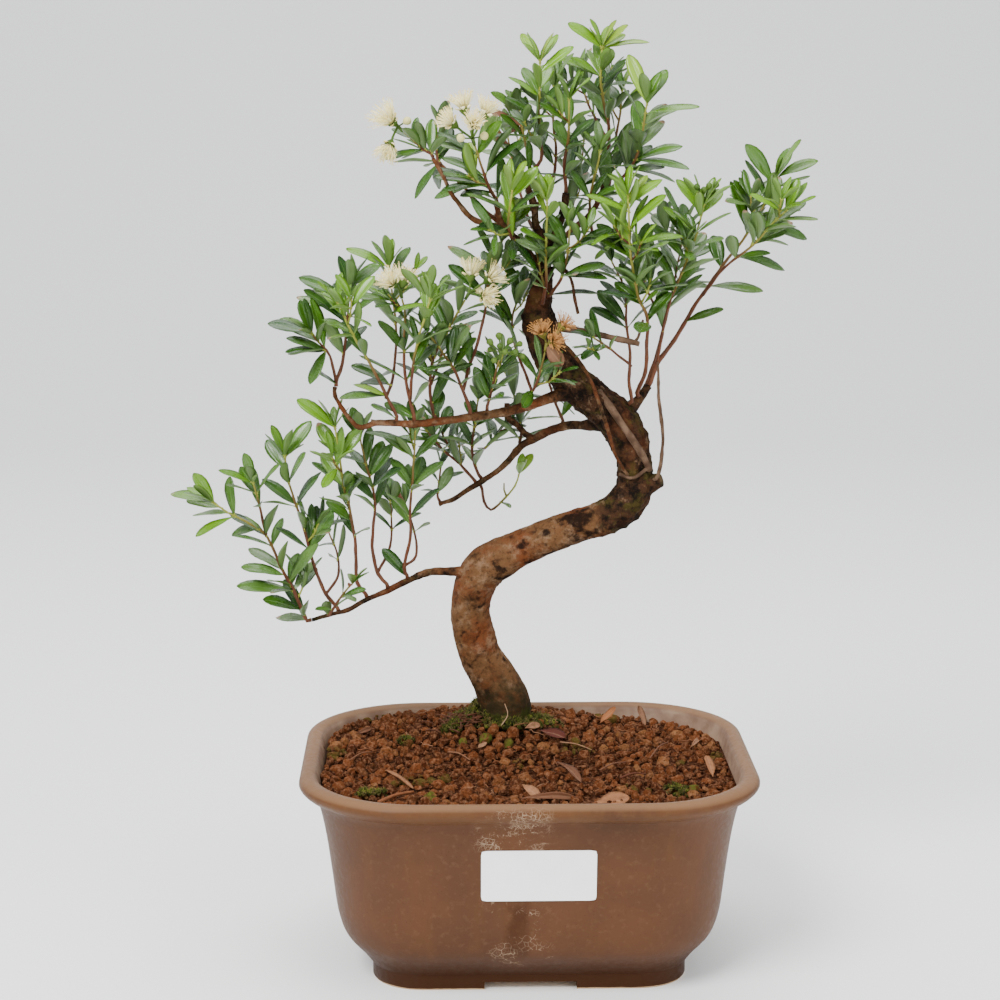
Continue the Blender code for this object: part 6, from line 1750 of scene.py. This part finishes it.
def dress_pot(looks):
    """The pot with round corners and a smooth profile, its notches and drain holes cut again."""
    outside = rounded_rows(POT_OUTSIDE, FOOT_ROWS, POT_STEPS[0])
    inside = rounded_rows(POT_INSIDE, 0, POT_STEPS[1])
    sections = [Vector(row) for row in FOOT_RECESS] + outside + inside
    count = 4 * (POT_ROUND + 1)
    heap = Heap()
    verts = []
    tones = []
    first_inside = len(FOOT_RECESS) + len(outside)
    for index, row in enumerate(sections):
        lip = ease(row.z, 91.0, 92.6) if index < first_inside else 0.0
        inner = ease(row.z, 100.6, 98.5) if index > first_inside - 6 and row.x > 5.0 else 0.0
        if index >= first_inside:
            inner = 1.0
        for point in fine_outline(row.x, row.y, row.z, POT_ROUND):
            verts.append(point)
            tones.append((lip, inner, 0.0))
    heap.add(verts, rings_faces(len(sections), count), tones)
    pot = heap.piece("glazed_pot", [looks["glaze"]], "pot_glaze", ("pot",))
    cutters = []
    foot_x = 2 * (POT_LENGTH / 2 - POT_OUTSIDE[1][0]) + NOTCH_PAST
    foot_y = 2 * (POT_WIDTH / 2 - POT_OUTSIDE[1][0]) + NOTCH_PAST
    for size in ((NOTCH_FRONT, foot_y, NOTCH_HEIGHT * 2), (foot_x, NOTCH_SIDE, NOTCH_HEIGHT * 2)):
        bpy.ops.mesh.primitive_cube_add(size=1, location=POT_PLACE)
        cutters.append(bpy.context.object)
        cutters[-1].scale = Vector(size) * MM
    for side in (-1, 1):
        bpy.ops.mesh.primitive_cylinder_add(vertices=HOLE_ROUND, radius=DRAIN_RADIUS * MM, depth=30 * MM,
                                            location=POT_PLACE + Vector((side * DRAIN_AT, 0, 10)) * MM)
        cutters.append(bpy.context.object)
    group = bpy.data.collections.new("cutters")
    for cutter in cutters:
        cutter.data.materials.append(looks["glaze"])
        group.objects.link(cutter)
    bpy.context.scene.collection.children.link(group)
    cut = pot.modifiers.new("cut", "BOOLEAN")
    cut.operation = "DIFFERENCE"
    cut.operand_type = "COLLECTION"
    cut.collection = group
    cut.solver = "EXACT"
    graph = bpy.context.evaluated_depsgraph_get()
    mesh = bpy.data.meshes.new_from_object(pot.evaluated_get(graph))
    pot.modifiers.clear()
    pot.data = mesh
    for cutter in cutters:
        bpy.data.objects.remove(cutter)
    bpy.data.collections.remove(group)
    mesh.shade_smooth()
    mesh.set_sharp_from_angle(angle=POT_SHARP)


def dress_label(looks):
    """The blank sheet, bent to the smooth wall."""
    profile = rounded_rows(POT_OUTSIDE, FOOT_ROWS, POT_STEPS[0])

    def wall(height):
        for low, high in zip(profile, profile[1:]):
            if low.z <= height <= high.z and high.z > low.z:
                return low.x + (high.x - low.x) * (height - low.z) / (high.z - low.z)
        return 0.0

    columns = 20
    lines = 12
    heap = Heap()
    tops = []
    width = LABEL_RIGHT - LABEL_LEFT
    height = LABEL_HIGH - LABEL_LOW
    for line in range(lines + 1):
        for column in range(columns + 1):
            x = width * column / columns - width / 2
            z = height * line / lines - height / 2
            over_x = abs(x) - (width / 2 - LABEL_CORNER)
            over_z = abs(z) - (height / 2 - LABEL_CORNER)
            if over_x > 0 and over_z > 0:
                reach = math.hypot(over_x, over_z)
                x -= math.copysign(over_x * (1 - LABEL_CORNER / reach), x) if reach > LABEL_CORNER else 0
                z -= math.copysign(over_z * (1 - LABEL_CORNER / reach), z) if reach > LABEL_CORNER else 0
            high = z + (LABEL_LOW + LABEL_HIGH) / 2
            front = -(POT_WIDTH / 2 - wall(high)) - GAP
            tops.append(Vector((x + (LABEL_LEFT + LABEL_RIGHT) / 2, front, high)))
    backs = [Vector((p.x, p.y + GAP, p.z)) for p in tops]
    tops = [Vector((p.x, p.y - LABEL_THICK * 0.6, p.z)) for p in tops]
    wide = columns + 1
    faces = []
    for line in range(lines):
        for column in range(columns):
            low = line * wide + column
            faces.append((low, low + 1, low + wide + 1, low + wide))
    rim = list(range(wide)) + [line * wide + columns for line in range(1, lines + 1)]
    rim += [lines * wide + column for column in range(columns - 1, -1, -1)]
    rim += [line * wide for line in range(lines - 1, 0, -1)]
    count = len(tops)
    for first, second in zip(rim, rim[1:] + rim[:1]):
        faces.append((first, first + count, second + count, second))
    heap.add(tops + backs, faces)
    label = heap.piece("blank_sheet", [looks["label"]], "label", ("blank_label",))
    label.data.set_sharp_from_angle(angle=LABEL_SHARP)


def outline_room(x, y, inset, corner):
    """How far inside the rounded outline a point lies, in mm."""
    half_x = POT_LENGTH / 2 - inset
    half_y = POT_WIDTH / 2 - inset
    over_x = abs(x) - (half_x - corner)
    over_y = abs(y) - (half_y - corner)
    if over_x > 0 and over_y > 0:
        return corner - math.hypot(over_x, over_y)
    return min(half_x - abs(x), half_y - abs(y))


def moss_share(x, y):
    """How thick the moss is here, from 0 to 1."""
    best = 0.0
    for centre_x, centre_y, half_x, half_y, strength in MOSS_PATCHES:
        away = math.hypot((x - centre_x) / half_x, (y - centre_y) / half_y)
        best = max(best, strength * ease(away, 1.15, 0.35))
    return best * max(0.0, 0.7 + 1.1 * noise.noise(Vector((x, y, 3.0)) / 5.0))


def cut_stones(draw):
    """Angular shapes of unit size: balls with flats cut at random."""
    shape = bmesh.new()
    bmesh.ops.create_icosphere(shape, subdivisions=2, radius=1.0)
    ball = [vert.co.copy() for vert in shape.verts]
    faces = [[vert.index for vert in face.verts] for face in shape.faces]
    shape.free()
    stones = []
    for _ in range(GRAIN_SHAPES):
        flats = []
        for _ in range(GRAIN_CUTS):
            way = Vector((draw.gauss(0, 1), draw.gauss(0, 1), draw.gauss(0, 1))).normalized()
            flats.append((way, draw.uniform(0.56, 0.88)))
        corners = []
        for corner in ball:
            reach = 1.0
            for way, away in flats:
                lean = corner.dot(way)
                if lean > 0.05:
                    reach = min(reach, away / lean)
            corners.append(corner * reach * draw.uniform(0.98, 1.1))
        stones.append(corners)
    return stones, faces


def under_litter(x, y, room):
    """Whether a fallen piece lies over this place."""
    for start, end, breadth, _ in LITTER.values():
        run = Vector(end) - Vector(start)
        share = min(1.0, max(0.0, (Vector((x, y)) - Vector(start)).dot(run) / run.length_squared))
        if (Vector(start) + run * share - Vector((x, y))).length < breadth / 2 + room:
            return True
    return False


def scatter_grains(draw):
    """Places and radii of grains that hardly overlap, the largest first."""
    cells = {}
    found = []
    for across, down, radius, green in PEBBLES:
        spot = on_soil(across, down)
        grain = (spot.x, spot.y, radius, green)
        cells.setdefault((int(spot.x // GRAIN_CELL), int(spot.y // GRAIN_CELL)), []).append(grain)
        found.append(grain)
    for wanted, low, high in GRAIN_SIZES:
        made = 0
        for _ in range(wanted * GRAIN_TRIES):
            if made == wanted:
                break
            x = draw.uniform(-0.5, 0.5) * POT_LENGTH
            y = draw.uniform(-0.5, 0.5) * POT_WIDTH
            radius = draw.uniform(low, high)
            if outline_room(x, y, *SOIL_EDGE) < radius * 0.9 or from_trunk(x, y) < GRAIN_ROOM:
                continue
            home = (int(x // GRAIN_CELL), int(y // GRAIN_CELL))
            round_it = [(home[0] + across, home[1] + deep) for across in (-1, 0, 1) for deep in (-1, 0, 1)]
            near = [grain for cell in round_it for grain in cells.get(cell, ())]
            if any(math.hypot(x - one[0], y - one[1]) < (radius + one[2]) * GRAIN_CLOSE for one in near):
                continue
            cells.setdefault(home, []).append((x, y, radius, 0.0))
            found.append((x, y, radius, 0.0))
            made += 1
    return found


def dress_soil(looks):
    """The bed that fills the pot and the loose grains on it."""
    heap = Heap()
    walls = reversed(POT_INSIDE[:-1])
    rows = [(inset + GAP, corner, max(height, FLOOR_TOP + 2.0)) for inset, corner, height in walls]
    verts = []
    count = 4 * (BED_ROUND + 1)
    for row in rows:
        verts += fine_outline(*row, BED_ROUND)
    side = rows[-1]
    for ring in range(1, BED_RINGS + 1):
        inset = side[0] + ring * 5.0
        for point in fine_outline(inset - 4.0, max(side[1] - ring * 3.6, 1.0), 0, BED_ROUND):
            lump = noise.noise(Vector((point.x, point.y, 0)) / 4.0)
            verts.append(Vector((point.x, point.y, soil_height(point.x, point.y) - BED_BELOW + lump)))
    heap.add(verts, rings_faces(len(rows) + BED_RINGS, count), (0.0, 0.2, 0.0))
    heap.piece("soil_bed", [looks["grain"]], "soil", ("soil",))

    draw = random.Random(SEED + 2)
    stones, faces = cut_stones(draw)
    halves = (Heap(), Heap())
    for x, y, radius, green in scatter_grains(draw):
        way = Vector((draw.gauss(0, 1), draw.gauss(0, 1), draw.gauss(0, 1)))
        spin = Matrix.Rotation(draw.uniform(0, math.tau), 3, way)
        squash = Vector((1.0, draw.uniform(0.78, 1.0), draw.uniform(0.66, 0.95))) * radius
        sink = 0.95 if under_litter(x, y, radius) else draw.uniform(0.3, 0.6)
        green = max(green, moss_share(x, y), 0.75 * (noise.noise(Vector((x, y, 40)) / 22.0) > 0.42))
        middle = Vector((x, y, soil_height(x, y) - sink * radius))
        stone = draw.choice(stones)
        corners = [middle + spin @ (corner * squash) for corner in stone]
        kind = draw.random() * (0.75 if radius < GRAIN_SIZES[1][1] else 1.0)
        halves[y > 0].add(corners, faces, (draw.random(), kind, min(1.0, green)))
    for half, name in zip(halves, ("soil_grains_front", "soil_grains_back")):
        half.piece(name, [looks["grain"]], "soil", smooth_faces=False)


def dress_moss(looks):
    """Shoots of moss round the trunk and in small tufts on the soil."""
    heap = Heap()
    draw = random.Random(SEED + 3)
    sizes = [patch[2] * patch[3] for patch in MOSS_PATCHES]
    for _ in range(MOSS_SHOOTS):
        centre_x, centre_y, half_x, half_y, _ = draw.choices(MOSS_PATCHES, sizes)[0]
        x = centre_x + draw.uniform(-1.1, 1.1) * half_x
        y = centre_y + draw.uniform(-1.1, 1.1) * half_y
        share = moss_share(x, y)
        if draw.random() > share * 1.3 or from_trunk(x, y) < MOSS_ROOM:
            continue
        climb = ease(from_trunk(x, y), 19.0, MOSS_ROOM) * ease(x, 4.0, -12.0)
        mound = (2.6 + MOSS_CLIMB * climb) * share + 1.5 * noise.noise(Vector((x, y, 9)) / 3.5)
        foot = Vector((x, y, soil_height(x, y) + mound - 0.4))
        tall = draw.uniform(1.3, 2.6)
        lean = Vector((draw.uniform(-0.35, 0.35), draw.uniform(-0.35, 0.35), 1)).normalized()
        tone = (draw.random(), draw.random() ** 4, 0.8 * (draw.random() < 0.3))
        turn = draw.uniform(0, math.tau)
        side = lean.orthogonal().normalized()
        for ray in range(MOSS_RAYS):
            out = Matrix.Rotation(turn + math.tau * ray / MOSS_RAYS, 3, lean) @ side
            start = foot + lean * tall * 0.35 * (ray % 2)
            tip = start + lean * tall * 0.7 + out * tall * 0.55
            heap.add(*spike(start, tip, 0.75), tone)
    heap.piece("moss_patch", [looks["moss"]], "leaf")


def spike(foot, tip, thick):
    verts, _ = tube([foot, tip], [thick / 2, thick / 2], 3)
    return verts[:3] + [tip], [(2, 1, 0), (0, 1, 3), (1, 2, 3), (2, 0, 3)]


def on_soil(across, down, above=1.5):
    """The place on the soil that the front view shows here."""
    for step in range(-90, 90):
        point = seen(across, down, step)
        if point.z <= soil_height(point.x, point.y) + above:
            return point
    return seen(across, down, 0)


def dress_litter(looks):
    """The fallen leaves and the stick in their nodes' places, and the smaller ones about them."""
    draw = random.Random(SEED + 4)
    for name, (start, end, breadth, rise) in LITTER.items():
        heap = Heap()
        low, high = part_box(name)
        base = Vector((*start, 0.0))
        reach = Vector((*end, rise)) - base
        if name == "fallen_stick":
            height = (low.z + high.z) / 2 / MM
            path = smooth([base, base + reach * 0.5 + Vector((0, 2, 0.4)), base + reach], 2.0)
            path = [point + Vector((0, 0, height)) for point in path]
            fine_tube(heap, path, taper(breadth / 2, breadth / 3, len(path)), 8, (0.8, 0.2, 0.0))
        else:
            leaf = blade(base, reach, reach.length, breadth, 0, Vector((0.1, -0.2, 1)))
            drop = low.z / MM - min(vert.z for vert in leaf_shell(leaf)[0])
            leaf = leaf._replace(base=leaf.base + Vector((0, 0, drop + 0.8)))
            fine_leaf(heap, leaf, LITTER_TONE[name], draw, 0, 2.2, draw.uniform(-0.5, 0.5))
        heap.piece("dry_" + name, [looks["dry"]], "dry_plant", (name,))
    heap = Heap()
    for start, end, breadth, curve, tone in SCRAPS:
        base = on_soil(*start)
        tip = on_soil(*end)
        if curve > 1.0:
            tip = base + Vector(((end[0] - start[0]) / 2.1, 2.0, (start[1] - end[1]) / 2.1))
        reach = tip - base
        if breadth < 1.6:
            bow = Vector((STAND_BOW, 0, 0)) if curve > 1.0 else Vector((0, 0, reach.length * curve * 0.3))
            middle = base + reach * 0.5 + bow
            path = smooth([base, middle, tip], 1.6)
            fine_tube(heap, path, taper(breadth / 2, breadth / 3, len(path)), 6, tone)
            continue
        leaf = blade(base, reach, reach.length, breadth, 0, Vector((0.2, -0.8, 1)))
        fine_leaf(heap, leaf, tone, draw, 0, 2.5, draw.uniform(-0.8, 0.8))
    for _ in range(HEAP_TWIGS):
        spread = Vector((draw.gauss(0, 7.0), draw.gauss(0, 6.0), 0))
        spot = HEAP_PLACE + spread
        heaped = 3.0 * draw.random() * math.exp(-spread.length_squared / 90)
        height = soil_height(spot.x, spot.y) + 1.0 + heaped
        turn = draw.uniform(0, math.tau)
        reach = Vector((math.cos(turn), math.sin(turn), draw.uniform(-0.12, 0.3))) * draw.uniform(3.0, 9.0)
        base = Vector((spot.x, spot.y, height))
        path = smooth([base, base + reach * 0.5 + Vector((0, 0, 0.6)), base + reach], 1.8)
        tone = (draw.uniform(0.0, 0.15), draw.uniform(0.0, 0.25), 0.0)
        fine_tube(heap, path, taper(draw.uniform(0.3, 0.6), 0.2, len(path)), 5, tone)
    for _ in range(LOOSE_THREADS):
        x = draw.uniform(-90, 90)
        y = draw.uniform(-66, 66)
        turn = draw.uniform(0, math.tau)
        way = Vector((math.cos(turn), math.sin(turn), 0))
        length = draw.uniform(4, 11)
        if outline_room(x, y, *SOIL_EDGE) < length:
            continue
        path = []
        for step in range(6):
            spot = Vector((x, y, 0)) + way * length * step / 5
            spot += Vector((draw.uniform(-0.8, 0.8), draw.uniform(-0.8, 0.8), 0))
            spot.z = soil_height(spot.x, spot.y) + 1.9 + draw.uniform(-0.3, 0.6)
            path.append(spot)
        path = smooth(path, 1.2)
        fine_tube(heap, path, taper(0.26, 0.14, len(path)), 4, (0.6, 0.1, draw.choice((0.0, 0.1, 0.3))))
    heap.piece("soil_litter", [looks["dry"]], "dry_plant")


def lamp(name, place, aim, size, power):
    data = bpy.data.lights.new(name, "AREA")
    data.shape = "DISK"
    data.size = size
    data.energy = power
    thing = bpy.data.objects.new(name, data)
    thing.location = place
    thing.rotation_euler = (Vector(aim) - Vector(place)).to_track_quat("-Z", "Y").to_euler()
    bpy.context.scene.collection.objects.link(thing)


def studio():
    """Camera where the front view is seen from, a plain pale sweep of floor and soft lights."""
    camera = bpy.data.objects.new("camera", bpy.data.cameras.new("camera"))
    camera.location = POT_PLACE + Matrix.Rotation(-VIEW_TURN, 3, "Z") @ EYE * MM
    camera.rotation_euler = (math.pi / 2 - VIEW_DOWN, 0, -VIEW_TURN)
    camera.data.sensor_width = 36.0
    camera.data.lens = 36.0 * VIEW_FOCAL / 1000
    camera.data.clip_start = 0.01
    bpy.context.scene.collection.objects.link(camera)
    bpy.context.scene.camera = camera

    profile = [(-6.0, 0.0), (1.6, 0.0)]
    for step in range(1, 13):
        angle = math.pi / 2 * step / 12
        profile.append((1.6 + 1.2 * math.sin(angle), 1.2 * (1 - math.cos(angle))))
    profile.append((2.8, 6.0))
    verts = [(x, y, z) for y, z in profile for x in (-7.0, 7.0)]
    faces = [(2 * i, 2 * i + 1, 2 * i + 3, 2 * i + 2) for i in range(len(profile) - 1)]
    mesh = bpy.data.meshes.new("floor")
    mesh.from_pydata(verts, [], faces)
    mesh.shade_smooth()
    floor = bpy.data.objects.new("floor", mesh)
    bpy.context.scene.collection.objects.link(floor)
    f = Finish("pale_floor")
    mesh.materials.append(f.done(FLOOR, 0.7))

    world = bpy.context.scene.world or bpy.data.worlds.new("world")
    bpy.context.scene.world = world
    world.use_nodes = True
    ground = world.node_tree.nodes["Background"]
    ground.inputs["Color"].default_value = (*SKY, 1)
    ground.inputs["Strength"].default_value = SKY_STRENGTH
    for row in LAMPS:
        lamp(*row)


def main():
    noise.seed_set(SEED)  # for the sway of the stems
    studio()
    looks = {
        "leaf": leaf_finish(), "stem": stem_finish(), "bark": bark_finish(), "wood": wood_finish(),
        "glaze": glaze_finish(), "label": label_finish(), "grain": grain_finish(), "moss": moss_finish(),
        "dry": dry_finish(), "petal": petal_finish(), "bud": bud_finish(), "net": netting_finish(),
    }
    for side in ("left", "right"):
        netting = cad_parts["drain_mesh_" + side]
        netting.data.materials.clear()
        netting.data.materials.append(looks["net"])
    for dress in (dress_pot, dress_label, dress_soil, dress_moss, dress_wood, dress_litter):
        dress(looks)
    growth = Growth()
    growth.run()
    added, twigs = more_leaves(growth)
    for name in SPRAYS:
        dress_spray(name, growth, added, twigs, looks)
    for name in CLUSTERS:
        dress_cluster(name, growth, looks)


main()
